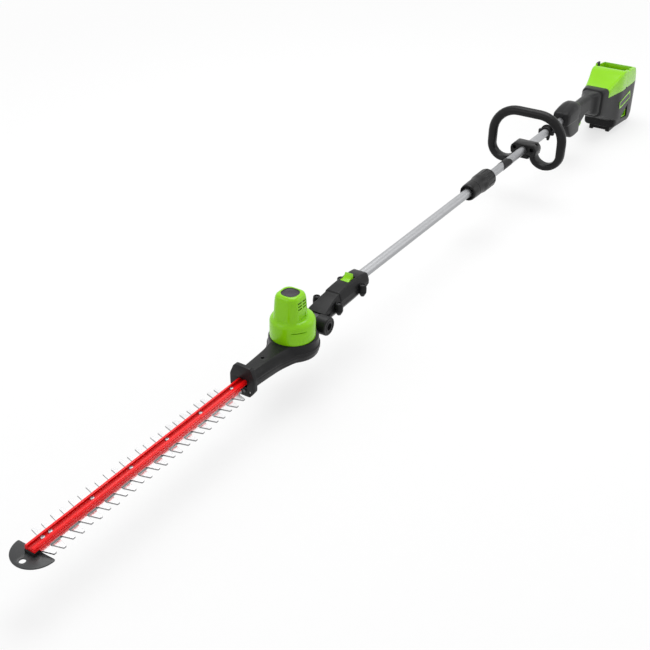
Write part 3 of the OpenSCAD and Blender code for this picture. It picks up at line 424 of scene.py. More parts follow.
    def outwards(self) -> "Piece":
        """Turns every face outwards."""
        self.edit()
        bpy.ops.mesh.select_all(action="SELECT")
        bpy.ops.mesh.normals_make_consistent(inside=False)
        return self

    def round_edges(self, test: Callable[[Vector, Vector], bool], radius: float,
                    segments: int = 5) -> "Piece":
        """Rounds the edges that pass a test with a bevel of that radius."""
        self.pick_edges(test)
        bpy.ops.mesh.bevel(offset=radius, segments=segments, profile=0.5, affect="EDGES",
                           clamp_overlap=True)
        return self

    def panel(self, test: Callable[[Vector, Vector], bool], border: float,
              depth: float) -> "Piece":
        """Insets the faces that pass a test and sinks or raises what they enclose."""
        self.pick_faces(test)
        bpy.ops.mesh.inset(thickness=border, depth=depth, use_boundary=True)
        return self

    def split_at(self, axis: Axis, *stations: float) -> "Piece":
        """Cuts new edge loops across the piece at stations along an axis."""
        for station in stations:
            self.edit()
            bpy.ops.mesh.select_all(action="SELECT")
            bpy.ops.mesh.bisect(plane_co=axis.vector(station), plane_no=axis.vector(1.0))
        return self

    def trim(self, point: Point, normal: Point) -> "Piece":
        """Cuts away what lies on the normal's side of a plane, and closes the cut."""
        self.edit()
        bpy.ops.mesh.select_all(action="SELECT")
        bpy.ops.mesh.bisect(plane_co=point, plane_no=normal, use_fill=True, clear_outer=True)
        return self.outwards()

    # -- object mode ----------------------------------------------------------------------
    def modify(self, kind: str, **settings: Any) -> "Piece":
        """Adds a modifier, sets it and applies it."""
        self.activate()
        modifier = self.obj.modifiers.new(kind.lower(), kind)
        for key, value in settings.items():
            setattr(modifier, key, value)
        bpy.ops.object.modifier_apply(modifier=modifier.name)
        return self

    def cut(self, *tools: "Piece") -> "Piece":
        """Takes the shapes of other pieces out of this one."""
        return self._boolean("DIFFERENCE", tools)

    def weld(self, *others: "Piece") -> "Piece":
        """Unites other closed pieces with this one into one closed skin."""
        return self._boolean("UNION", others)

    def _boolean(self, operation: str, others: Iterable["Piece"]) -> "Piece":
        """Applies one boolean modifier per other piece and removes that piece.

        A result that has lost volume which it must keep is made again, with the other
        piece moved by a few hundredths of a millimetre.

        Args:
            operation: UNION or DIFFERENCE.
            others: the pieces to unite with this one or to take out of it.

        Returns:
            This piece.
        """
        nothing_selected()
        for other in others:
            mine, its = self.volume(), other.volume()
            least, most = ((max(mine, its), mine + its) if operation == "UNION"
                           else (mine - its, mine))
            before = self.obj.data.copy()
            for nudge in NUDGES:
                other.obj.location = (nudge, nudge, nudge)
                bpy.context.view_layer.update()
                self.modify("BOOLEAN", operation=operation, object=other.obj, solver="EXACT")
                if least * (1 - SLACK) - 1 <= self.volume() <= most * (1 + SLACK) + 1:
                    break
                LOG.info("%s is made again", self.obj.name)
                self.obj.data = before.copy()
            bpy.data.objects.remove(other.obj, do_unlink=True)
        return self

    def volume(self) -> float:
        """Volume inside the closed mesh, in cubic millimetres."""
        self.activate()
        mesh = bmesh.new()
        mesh.from_mesh(self.obj.data)
        size = abs(mesh.calc_volume())
        mesh.free()
        return size

    def squeeze(self, test: Callable[[Vector, Vector], bool], scale: Point,
                middle: Point) -> "Piece":
        """Scales the faces that pass a test about a point."""
        self.pick_faces(test)
        bpy.ops.transform.resize(value=scale, center_override=middle)
        return self

    def join(self, *others: "Piece") -> "Piece":
        """Joins other pieces to this one without uniting their skins."""
        self.activate()
        for other in others:
            other.obj.select_set(True)
        bpy.ops.object.join()
        return self

    def moved(self, move: Point, axis: Axis, degrees: float) -> "Piece":
        """Turns the whole piece about the origin and then moves it."""
        self.edit()
        bpy.ops.mesh.select_all(action="SELECT")
        bpy.ops.transform.rotate(value=-math.radians(degrees), orient_axis=axis.name,
                                 center_override=(0, 0, 0))
        bpy.ops.transform.translate(value=move)
        return self

    def twin(self, name: str, move: Point = (0, 0, 0)) -> "Piece":
        """A separate copy of this piece with its own mesh, moved from where this one is."""
        nothing_selected()
        obj = self.obj.copy()
        obj.data = self.obj.data.copy()
        bpy.context.scene.collection.objects.link(obj)
        obj.location = move
        return Piece(obj, name)

    def copied(self, *moves: Point) -> "Piece":
        """Adds copies of this piece's mesh at the given moves from where it is."""
        copies = [self.twin(self.obj.name + "_copy", move) for move in moves]
        return self.join(*copies) if copies else self

    def mirrored(self) -> "Piece":
        """Adds the mirror image of the piece on the other side of the pole."""
        self.modify("MIRROR", use_axis=(False, True, False), use_mirror_merge=False)
        return self.outwards()

    def soften(self, width: float, segments: int = 2, angle: float = 32.0) -> "Piece":
        """Rounds every sharp edge a little, as a mould or a file leaves it."""
        return self.modify("BEVEL", width=width, segments=segments, limit_method="ANGLE",
                           angle_limit=math.radians(angle), miter_outer="MITER_ARC",
                           use_clamp_overlap=True)

    def finish(self, finish: "Finish", body: str, replaces: Sequence[str] = (),
               slot: Optional[str] = None, crease: float = 35.0) -> bpy.types.Object:
        """Moves the piece to the frame, dresses it and hands it to its body.

        Args:
            finish: what its surface is made of.
            body: the moving group that carries it.
            replaces: construction nodes that it stands for.
            slot: material slot of the record, where it is a new piece; not used.
            crease: angle in degrees above which an edge stays sharp.

        Returns:
            The finished object.
        """
        self.activate()
        self.obj.scale = (0.001, 0.001, 0.001)
        self.obj.location = at(0, 0, 0)
        bpy.ops.object.transform_apply(location=True, rotation=True, scale=True)
        bpy.ops.object.shade_smooth_by_angle(angle=math.radians(crease))
        self.obj.data.materials.clear()
        self.obj.data.materials.append(finish.material())
        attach(self.obj, body)
        if replaces:
            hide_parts(*replaces)
        LOG.info("%s: %d faces on %s", self.obj.name, len(self.obj.data.polygons), body)
        return self.obj


# ---------------------------------------------------------------------------------------------
# Shader maths
# ---------------------------------------------------------------------------------------------
class Value:
    """A shader socket that does its arithmetic with Math nodes."""

    def __init__(self, graph: "Graph", source: Optional[bpy.types.NodeSocket]) -> None:
        """Wraps a socket of a graph."""
        self.graph = graph
        self.source = source

    def _math(self, operation: str, first: Any, second: Any = None) -> "Value":
        """Adds one Math node and returns its result."""
        values = {0: first} if second is None else {0: first, 1: second}
        return self.graph.node("ShaderNodeMath", {"operation": operation}, values)

    def __add__(self, other: Any) -> "Value":
        """Sum."""
        return self._math("ADD", self, other)

    __radd__ = __add__

    def __sub__(self, other: Any) -> "Value":
        """Difference."""
        return self._math("SUBTRACT", self, other)

    def __rsub__(self, other: Any) -> "Value":
        """Difference from a number."""
        return self._math("SUBTRACT", other, self)

    def __mul__(self, other: Any) -> "Value":
        """Product."""
        return self._math("MULTIPLY", self, other)

    __rmul__ = __mul__

    def ramp(self, low: float, high: float) -> "Value":
        """0 below low, 1 above high, and smooth in between."""
        return self.graph.node("ShaderNodeMapRange", {"interpolation_type": "SMOOTHSTEP"},
                               {0: self, 1: low, 2: high, 3: 0.0, 4: 1.0})

    def sine(self) -> "Value":
        """Sine of the value in radians."""
        return self._math("SINE", self)


class Graph:
    """A node tree that is filled through one method."""

    def __init__(self, tree: bpy.types.NodeTree) -> None:
        """Takes over a tree and empties it."""
        self.tree = tree
        tree.nodes.clear()

    def node(self, kind: str, settings: Dict[str, Any], inputs: Dict[Any, Any],
             output: Any = 0) -> Value:
        """Adds any node.

        Args:
            kind: Blender's node type.
            settings: properties, which are set before the inputs.
            inputs: value or link of each socket, by its name or number.
            output: name or number of the socket to return.

        Returns:
            The chosen output, wrapped; a node that only takes inputs has none.
        """
        made = self.tree.nodes.new(kind)
        for key, value in settings.items():
            setattr(made, key, value)
        for key, value in inputs.items():
            self.feed(made.inputs[key], value)
        return Value(self, made.outputs[output] if made.outputs else None)

    def feed(self, socket: bpy.types.NodeSocket, value: Any) -> None:
        """Links a wrapped value to a socket, or sets the socket to a plain value."""
        if isinstance(value, Value):
            self.tree.links.new(value.source, socket)
        elif socket.type == "RGBA":
            socket.default_value = (*value, 1.0)
        else:
            socket.default_value = value

    def seen_directly(self) -> Value:
        """1 for rays from the camera, off polished metal and through clear parts, else 0."""
        camera, glossy, clear = [self.node("ShaderNodeLightPath", {}, {}, name)
                                 for name in ("Is Camera Ray", "Is Glossy Ray",
                                              "Is Transmission Ray")]
        return self.node("ShaderNodeMath", {"operation": "MINIMUM"},
                         {0: camera + glossy + clear, 1: 1.0})


class Paint(Graph):
    """One material and the nodes that feed its Principled shader."""

    def __init__(self, name: str) -> None:
        """Starts an empty node material with its shader and output."""
        self.data = bpy.data.materials.new(name)
        self.data.use_nodes = True
        super().__init__(self.data.node_tree)
        self.shader = self.tree.nodes.new("ShaderNodeBsdfPrincipled")
        self.output = self.tree.nodes.new("ShaderNodeOutputMaterial")
        self.tree.links.new(self.shader.outputs[0], self.output.inputs[0])
        self.place = Value(self, self.tree.nodes.new("ShaderNodeTexCoord").outputs["Object"])

    def mapped(self, scale: Point) -> Value:
        """Object coordinates, stretched by scale."""
        return self.node("ShaderNodeMapping", {}, {"Vector": self.place, "Scale": scale})

    def noise(self, scale: float, detail: float = 3.0, stretch: Point = (1, 1, 1),
              rough: float = 0.55) -> Value:
        """A noise value of about 0 to 1 on object coordinates, in cycles per metre."""
        return self.node("ShaderNodeTexNoise", {}, {
            "Vector": self.mapped(stretch), "Scale": scale, "Detail": detail,
            "Roughness": rough})

    def mix(self, factor: Any, first: Any, second: Any) -> Value:
        """A colour between two colours."""
        return self.node("ShaderNodeMix", {"data_type": "RGBA"},
                         {0: factor, 6: first, 7: second}, 2)

    def axis_value(self, axis: Axis) -> Value:
        """One of the object coordinates, in metres."""
        return self.node("ShaderNodeSeparateXYZ", {}, {0: self.place}, axis.value)

    def lean(self, axis: Axis) -> Value:
        """How far the surface faces along an axis of the object, from -1 to 1."""
        facing = self.node("ShaderNodeTexCoord", {}, {}, "Normal")
        return self.node("ShaderNodeSeparateXYZ", {}, {0: facing}, axis.value)

    def set(self, **sockets: Any) -> "Paint":
        """Feeds or sets sockets of the Principled shader; underscores stand for spaces."""
        for key, value in sockets.items():
            self.feed(self.shader.inputs[key.replace("_", " ")], value)
        return self

    def relief(self, height: Value, strength: float, distance: float) -> "Paint":
        """Feeds the shader's normal with a bump of that height."""
        return self.set(Normal=self.node("ShaderNodeBump", {}, {
            "Strength": strength, "Distance": distance, "Height": height}))


# ---------------------------------------------------------------------------------------------
# Finishes
# ---------------------------------------------------------------------------------------------
@dataclass(frozen=True)
class Finish:
    """A surface finish with its name and the record's material slot it stands for."""

    name: str
    slot: str

    def material(self) -> bpy.types.Material:
        """The Blender material, made once."""
        found = bpy.data.materials.get(self.name)
        return found or self.build(Paint(self.name)).data

    def build(self, paint: Paint) -> Paint:
        """Fills in the nodes of the material."""
        raise NotImplementedError


def tone(red: int, green: int, blue: int) -> Point:
    """A colour from three display values of 0 to 255, as the linear values that shaders use."""
    return tuple(v / 255 / 12.92 if v < 11 else ((v / 255 + 0.055) / 1.055) ** 2.4
                 for v in (red, green, blue))


def shade(colour: Point, factor: float) -> Point:
    """The same colour, darker below 1 and lighter above."""
    return tuple(min(1.0, c * factor) for c in colour)


@dataclass(frozen=True)
class Moulding(Finish):
    """Moulded plastic with an eroded grain, faint flow clouds, dust and rubbed patches."""

    colour: Point
    roughness: float = 0.5
    grain: float = 0.25
    grain_scale: float = 1500.0
    coat: float = 0.0
    worn: float = 0.1
    shine: float = 0.2

    def build(self, paint: Paint) -> Paint:
        """Clouded colour, grain relief and roughness that varies with handling."""
        cloud = paint.noise(14, 4)
        grain = paint.noise(self.grain_scale, 2)
        rubbed = paint.noise(55, 6, rough=0.7).ramp(0.56, 0.74)
        scratch = paint.noise(160, 3, stretch=(0.12, 1.0, 2.2)).ramp(0.66, 0.7)
        base = paint.mix(cloud, shade(self.colour, 0.9), shade(self.colour, 1.1))
        base = paint.mix(rubbed * self.worn, base, tuple(0.5 * c + 0.16 for c in self.colour))
        base = paint.mix(scratch * (self.worn * 0.35), base,
                         tuple(0.6 * c + 0.2 for c in self.colour))
        level = cloud * 0.1 + grain * 0.06 + (self.roughness - 0.08) - rubbed * 0.08
        paint.set(Base_Color=base, Roughness=level, Coat_Weight=self.coat, Coat_Roughness=0.12,
                  Specular_IOR_Level=self.shine)
        return paint.relief(grain * 0.8 + cloud * 0.25, self.grain, 0.00012)


class MetalGrain(Enum):
    """How a metal surface was worked, as the stretch of its fine lines."""

    DRAWN = (0.015, 1.0, 1.0)
    GROUND = (1.0, 0.03, 1.0)
    TURNED = (1.0, 1.0, 0.05)
    CAST = (1.0, 1.0, 1.0)


@dataclass(frozen=True)
class Metal(Finish):
    """Bare or plated metal with working lines, smears and fine scratches.

    Where the flank factor is below 1, painted shade darkens the metal by that factor on faces that
    stand upright.
    """

    colour: Point
    roughness: float = 0.3
    grain: MetalGrain = MetalGrain.DRAWN
    line_scale: float = 1800.0
    relief_strength: float = 0.12
    stain: Point = (0.35, 0.33, 0.3)
    stained: float = 0.12
    flank_shade: float = 1.0

    def build(self, paint: Paint) -> Paint:
        """Lines along the working direction over patches of smeared polish, and painted shade on
        upright faces.
        """
        lines = paint.noise(self.line_scale, 3, stretch=self.grain.value)
        smear = paint.noise(22, 5)
        spots = paint.noise(140, 4, rough=0.7).ramp(0.6, 0.72)
        base = paint.mix(smear, shade(self.colour, 0.93), shade(self.colour, 1.05))
        base = paint.mix(lines * 0.12, base, shade(self.colour, 0.75))
        base = paint.mix(spots * self.stained, base, self.stain)
        # Painted shade: faces that stand upright, such as the ground flanks of the teeth, get a
        # darker colour.
        if self.flank_shade < 1:
            flat = paint.lean(Axis.Z) * paint.lean(Axis.Z)
            base = paint.mix(flat.ramp(0.45, 0.85), shade(self.colour, self.flank_shade), base)
        level = lines * 0.1 + smear * 0.1 + spots * 0.12 + (self.roughness - 0.1)
        paint.set(Base_Color=base, Roughness=level, Metallic=1.0)
        return paint.relief(lines, self.relief_strength, 0.00006)


@dataclass(frozen=True)
class Lacquer(Finish):
    """Sprayed paint on metal: orange peel, light scuffs, chips down to the primer and painted shade
    in an open channel.
    """

    colour: Point
    roughness: float = 0.32
    chip: Point = (0.3, 0.3, 0.3)
    chipped: float = 0.35
    # Half width and top of the channel in metres, and the factor of its painted shade; a half width
    # of 0 paints none.
    channel: Tuple[float, float, float] = (0.0, 0.0, 1.0)

    def build(self, paint: Paint) -> Paint:
        """Even colour with a soft peel relief, a few chips and painted shade in the channel."""
        peel = paint.noise(160, 2)
        cloud = paint.noise(16, 3)
        chips = paint.noise(120, 3, rough=0.7).ramp(0.74, 0.77)
        scuff = paint.noise(90, 5, stretch=(0.1, 1, 1)).ramp(0.6, 0.8)
        base = paint.mix(cloud, shade(self.colour, 0.88), shade(self.colour, 1.12))
        base = paint.mix(scuff * 0.02, base, tuple(0.7 * c + 0.12 for c in self.colour))
        base = paint.mix(chips * self.chipped, base, self.chip)
        # Painted shade: the floor and walls of the open channel get a darker red.
        half, height, dark = self.channel
        if half:
            across = paint.axis_value(Axis.Y)
            inside = (across * across).ramp(half ** 2, (0.9 * half) ** 2)
            below = paint.axis_value(Axis.Z).ramp(height, height - 0.0012)
            base = paint.mix(inside * below, base, shade(self.colour, dark))
        level = peel * 0.05 + scuff * 0.1 + chips * 0.2 + (self.roughness - 0.04)
        paint.set(Base_Color=base, Roughness=level, Coat_Weight=0.15, Coat_Roughness=0.2,
                  Specular_IOR_Level=0.3)
        return paint.relief(peel - chips * 0.5, 0.02, 0.0001)


@dataclass(frozen=True)
class Winding(Finish):
    """Enamelled copper wire between steel laminations."""

    def build(self, paint: Paint) -> Paint:
        """Thin rings of wire and dark sheet, stacked along Z."""
        layer = (paint.axis_value(Axis.Z) * 9000.0).sine() * 0.5 + 0.5
        blotch = paint.noise(120, 4)
        wire = paint.mix(blotch, tone(150, 70, 30), tone(205, 120, 60))
        base = paint.mix(layer.ramp(0.35, 0.65), tone(60, 60, 62), wire)
        paint.set(Base_Color=base, Roughness=blotch * 0.2 + 0.3, Metallic=0.85)
        return paint.relief(layer, 0.4, 0.0002)


@dataclass(frozen=True)
class Board(Finish):
    """A potted circuit board with solder spots under a satin resin."""

    def build(self, paint: Paint) -> Paint:
        """Green resin over a pattern of tracks and bright joints."""
        spots = paint.node("ShaderNodeTexVoronoi", {"feature": "F1"}, {
            "Vector": paint.mapped((1, 1, 0.2)), "Scale": 260.0})
        tracks = paint.noise(220, 1, stretch=(1, 0.15, 1)).ramp(0.5, 0.54)
        base = paint.mix(tracks, tone(18, 78, 48), tone(34, 112, 66))
        base = paint.mix(1 - spots.ramp(0.1, 0.2), base, tone(176, 178, 182))
        paint.set(Base_Color=base, Roughness=paint.noise(40, 3) * 0.2 + 0.3, Coat_Weight=0.4)
        return paint.relief(tracks * 0.3 - spots * 0.6, 0.4, 0.0004)


@dataclass(frozen=True)
class Sheath(Finish):
    """Rubber lead sheath with a talc bloom."""

    def build(self, paint: Paint) -> Paint:
        """Dull black with a pale bloom and a fine pitted skin."""
        bloom = paint.noise(70, 5)
        pits = paint.noise(2400, 2)
        base = paint.mix(bloom.ramp(0.45, 0.75), tone(24, 24, 25), tone(52, 52, 53))
        paint.set(Base_Color=base, Roughness=bloom * 0.2 + pits * 0.1 + 0.55)
        return paint.relief(pits, 0.3, 0.00015)


GREEN = Moulding("green_shell_gloss", "green_shell", tone(132, 199, 8), 0.25, 0.02, 160.0, 0.18,
                 0.02, 0.17)
GREY = Moulding("grey_shell_grained", "grey_shell", tone(29, 29, 30), 0.36, 0.2, 1600.0, 0.0,
                0.06, 0.13)
GREY_CASE = Moulding("grey_case_grained", "grey_shell", tone(29, 29, 30), 0.34, 0.18, 1400.0, 0.0,
                     0.06, 0.16)
CHARCOAL = Moulding("charcoal_trim", "grey_shell", tone(48, 45, 52), 0.38, 0.15, 1500.0)
BLACK_GRIP = Moulding("black_grip_soft", "black_grip", tone(17, 17, 18), 0.34, 0.18, 1300.0)
BLACK_PART = Moulding("black_moulding_plain", "black_part", tone(19, 19, 20), 0.4, 0.18, 1700.0)
TUBE = Metal("tube_anodised", "pole_metal", tone(170, 171, 173), 0.44, MetalGrain.DRAWN, 1500.0,
             0.1, (0.4, 0.4, 0.4), 0.08)
# The last number darkens upright faces of the blades as painted shade.
BLADE = Metal("blade_polished", "blade_steel", tone(240, 240, 241), 0.2, MetalGrain.GROUND,
              900.0, 0.01, (0.4, 0.38, 0.34), 0.03, 0.3)
STEEL = Metal("steel_plated", "steel_part", tone(176, 177, 180), 0.36, MetalGrain.TURNED, 1600.0)
BLACK_STEEL = Metal("steel_blackened", "dark_steel", tone(84, 84, 87), 0.42, MetalGrain.CAST,
                    900.0, 0.15, (0.2, 0.12, 0.08), 0.18)
BRONZE = Metal("bronze_and_races", "bronze", tone(176, 148, 104), 0.38, MetalGrain.TURNED, 1400.0)
# The last three numbers place the painted shade in the rail's channel and set how dark it is.
RED = Lacquer("red_rail_lacquer", "red_rail", tone(232, 10, 14), 0.3, (0.32, 0.05, 0.05), 0.05,
              (0.0046, 0.1152, 0.68))
TIP_PAINT = Lacquer("grey_tip_lacquer", "tip_metal", tone(46, 47, 48), 0.42)
COPPER = Winding("copper_and_sheets", "copper")
BOARD = Board("potted_board", "board")
SHEATH = Sheath("lead_sheath", "lead_rubber")
NYLON = Moulding("fan_nylon", "fan_plastic", tone(38, 39, 44), 0.4, 0.15, 1500.0)


# ---------------------------------------------------------------------------------------------
# Studio
# ---------------------------------------------------------------------------------------------
@dataclass
class Studio:
    """Floor, lights, world and camera."""

    eye: Point = (1.9765, 0.9512, 1.1717)
    gaze: Point = (-0.7241, -0.4552, -0.5181)
    roll: float = 0.8
    lens: float = 58.2
    floor_span: float = 60.0
    air: float = 0.635
    lamps: Sequence[Tuple[str, Point, Point, float, float]] = (
        ("key", (-0.6, -0.4, 3.4), (0.0, 0.0, 0.1), 2.6, 84.0),
        ("side", (-2.4, 3.0, 1.9), (-0.3, 0.0, 0.1), 2.0, 24.0),
        ("front", (3.2, -1.8, 1.9), (0.6, 0.0, 0.1), 2.0, 20.0))

    def build(self) -> None:
        """Makes everything that is not part of the trimmer."""
        self.lay_floor()
        self.light_world()
        for lamp in self.lamps:
            self.hang_lamp(*lamp)
        self.set_camera()

    def lay_floor(self) -> None:
        """A wide pale floor that keeps a soft shadow."""
        nothing_selected()
        bpy.ops.mesh.primitive_plane_add(size=self.floor_span, location=(0, 0, -0.0005))
        floor = bpy.context.object
        floor.name = "studio_floor"
        paint = Paint("studio_paper")
        fibre = paint.noise(30, 4)
        paint.set(Base_Color=paint.mix(fibre, (0.8, 0.8, 0.8), (0.83, 0.83, 0.83)),
                  Roughness=0.95, Specular_IOR_Level=0.1)
        away = paint.node("ShaderNodeVectorMath", {"operation": "LENGTH"},
                          {0: paint.mapped((1, 1, 1))}, 1)
        seen = paint.seen_directly() * (away.ramp(1.4, 4.0) * 0.3 + 0.7)
        glow = paint.node("ShaderNodeEmission", {}, {"Color": (1, 1, 1), "Strength": 1.0})
        surface = Value(paint, paint.shader.outputs[0])
        paint.feed(paint.output.inputs[0], paint.node("ShaderNodeMixShader", {}, {
            0: seen, 1: surface, 2: glow}))
        floor.data.materials.append(paint.data)

    def light_world(self) -> None:
        """Soft light from all round, white where it is seen."""
        world = bpy.data.worlds.new("studio_air")
        bpy.context.scene.world = world
        world.use_nodes = True
        graph = Graph(world.node_tree)
        level = graph.seen_directly() * (1 - self.air) + self.air
        back = graph.node("ShaderNodeBackground", {}, {"Color": (1.0, 1.0, 1.0),
                                                       "Strength": level})
        graph.node("ShaderNodeOutputWorld", {}, {0: back})

    def hang_lamp(self, name: str, place: Point, target: Point, size: float,
                  power: float) -> None:
        """Adds a square soft box that points at a target."""
        lamp = bpy.data.lights.new(name, "AREA")
        lamp.size = size
        lamp.energy = power
        obj = bpy.data.objects.new(name, lamp)
        bpy.context.scene.collection.objects.link(obj)
        obj.location = place
        aim = Vector(target) - Vector(place)
        obj.rotation_euler = aim.to_track_quat("-Z", "Y").to_euler()

    def set_camera(self) -> None:
        """Puts the camera where it looks along the pole towards the battery housing."""
        data = bpy.data.cameras.new("view")
        data.sensor_width = 36.0
        data.lens = self.lens
        data.clip_end = 100.0
        camera = bpy.data.objects.new("view", data)
        bpy.context.scene.collection.objects.link(camera)
        camera.location = self.eye
        aim = Vector(self.gaze).to_track_quat("-Z", "Y").to_matrix()
        turned = aim @ Matrix.Rotation(math.radians(self.roll), 3, "Z")
        camera.rotation_euler = turned.to_euler()
        bpy.context.scene.camera = camera
        bpy.context.scene.view_settings.view_transform = "Standard"


# ---------------------------------------------------------------------------------------------
# The trimmer, from the tip to the battery housing
# ---------------------------------------------------------------------------------------------
@dataclass
class CuttingBar:
    """Rail, two blades, their bolts, the tip plate and its spacer."""

    foot: float = -33.2
    rail_top: float = -24.7
    rail_floor: float = -29.0
    rail_half: float = 9.8
    start: float = 231.0
    end: float = 744.0
    first_tooth: float = 270.0
    pitch: float = 38.0
    count: int = 13
    strip: float = 13.0
    reach: float = 33.0
    upper: Flat = (-36.3, -33.5)
    lower: Flat = (-39.4, -36.6)
    bolts: Sequence[float] = (717, 702, 614, 526, 438, 350, 262)
    tip: Flat = (-42.2, -39.7)
    tip_x: float = 734.0
    tip_r: float = 37.5

    def build(self) -> None:
        """Makes the pieces of the bar."""
        self.rail()
        self.blade("upper_blade_ground", self.upper, 1, self.count, 148.5, self.end - 18 + 8.5)
        self.blade("lower_blade_ground", self.lower, -1, self.count - 1, 129.5, 715.7)
        self.bolt_heads()
        self.tip_plate()
        self.spacer()

    def rail(self) -> None:
        """The red rail with its open channel, side grooves and rounded shoulders."""
        h, w = self.rail_top, self.rail_half
        side = [(w, self.foot), (w, -29.6), (w - 1.3, -29.3), (w - 1.3, -28.3), (w, -28.0),
                (w, -26.6), (w - 2.2, h), (4.4, h), (4.1, h - 0.4), (4.1, self.rail_floor)]
        outline = side + [(-y, z) for y, z in reversed(side)]
        rail = Piece.drawn("rail_extrusion", Axis.X, outline, (214.0, self.end))
        rail.soften(0.35, 2)
        holes = Piece.bar("holes", Axis.Z, (self.bolts[0], 0), (self.foot - 2, self.foot + 5), 3.1)
        holes.copied(*[(x - self.bolts[0], 0, 0) for x in self.bolts[1:]])
        tail = Piece.block("rail_tail", (160, -7.5, self.foot), (215, 7.5, self.rail_floor))
        tail.soften(0.6, 2)
        rail.cut(holes).join(tail)
        rail.finish(RED, "head", ["blade_rail"])

    def tooth(self, x: float) -> List[Flat]:
        """Outline of one tooth at a station, from its front foot to its rear foot."""
        s, r = self.strip, self.reach
        half = [(8.5, s), (8.5, s + 0.5), (7.4, s + 2.6), (2.8, r - 0.6), (2.2, r)]
        return [(x + a, y) for a, y in half] + [(x - a, y) for a, y in reversed(half)]

    def blade(self, name: str, levels: Flat, side: int, count: int, tail: float,
              front: float) -> None:
        """A blade with its longer row of teeth on one side, without the bolts' slots.

        Args:
            name: name of the piece.
            levels: lowest and highest z.
            side: 1 for the longer row on the operator's left, -1 for the right.
            count: teeth on that side.
            tail: station of the stud that the connecting rod drives.
            front: front end of the strip.
        """
        low, high = levels
        first, back = self.first_tooth, self.start + 20
        near = [first + self.pitch * i for i in reversed(range(count))]
        far = [first + self.pitch * (i + 0.5) for i in range(self.count - 1)]
        outline = [(front, self.strip)] + [point for x in near for point in self.tooth(x)]
        outline += [(back, self.strip), (back, -self.strip)]
        outline += [(x, -y) for at in far for x, y in reversed(self.tooth(at))]
        outline.append((front, -self.strip))
        strip = Piece.drawn(name, Axis.Z, [(x, y * side) for x, y in outline], (low, high))
        strip.outwards()
        for level in (high, low):
            strip.round_edges(lambda a, b, level=level: abs(a.z - level) < 0.01
                              and abs(b.z - level) < 0.01
                              and min(abs(a.y), abs(b.y)) > self.strip + 0.2, 1.15, 1)
        tang = Piece.block("tang", (tail - 7, -7.5, low), (self.start + 21, 7.5, high))
        stud_z = (high, high + 2.2) if side > 0 else (low - 2.2, low)
        stud = Piece.bar("stud", Axis.Z, (tail, 0), stud_z, 4.0)
        strip.join(tang.soften(0.3, 1), stud.soften(0.3, 1))
        strip.finish(BLADE, name.replace("_ground", ""), [name.replace("_ground", "")])

    def bolt_heads(self) -> None:
        """Dome heads in the rail channel over shanks that reach the nuts."""
        x = self.bolts[0]
        f = self.rail_floor
        head = Piece.turned("blade_bolt_set", Axis.Z, (x, 0), [
            (2.5, self.tip[0] - 3.8), (2.5, self.lower[0] - 0.3), (3.0, self.lower[0] - 0.3),
            (3.0, f), (3.9, f), (4.05, f + 0.5), (3.95, f + 1.4), (3.3, f + 2.5), (2.2, f + 3.15),
            (1.75, f + 3.25), (1.75, f + 1.6)], 40)
        head.copied(*[(b - x, 0, 0) for b in self.bolts[1:]])
        head.finish(STEEL, "head", ["blade_bolts"])

    def tip_plate(self) -> None:
        """Half-round plate with a rolled edge, a tongue under the blades and the hanging hole."""
        low, high = self.tip
        x, r = self.tip_x, self.tip_r
        turns = [math.pi * i / 36 for i in range(1, 36)]
        tongue = 695.0
        outline = [(x - 2.5, -r + 1.5), (x - 1.0, -r)]
        outline += [(x + r * math.sin(a), -r * math.cos(a)) for a in turns]
        outline += [(x - 1.0, r), (x - 2.5, r - 1.5), (x - 2.5, 9.0), (tongue, 9.0),
                    (tongue, -9.0), (x - 2.5, -9.0)]
        plate = Piece.drawn("tip_plate_sheet", Axis.Z, outline, (low, high))
        hole = Piece.bar("hole", Axis.Z, (x + r - 12, 0), (low - 1, high + 1), 5.1, 40)
        plate.cut(hole).soften(0.5, 2)
        plate.finish(TIP_PAINT, "head", ["tip_plate"])

    def spacer(self) -> None:
        """Black block between rail and tip plate, with a screw through it."""
        block = Piece.block("tip_spacer_block", (735.6, -10, self.tip[1]), (745.5, 10, self.foot))
        block.split_at(Axis.Y, -6, 6).soften(0.8, 3)
        block.finish(BLACK_PART, "head", ["tip_spacer"])


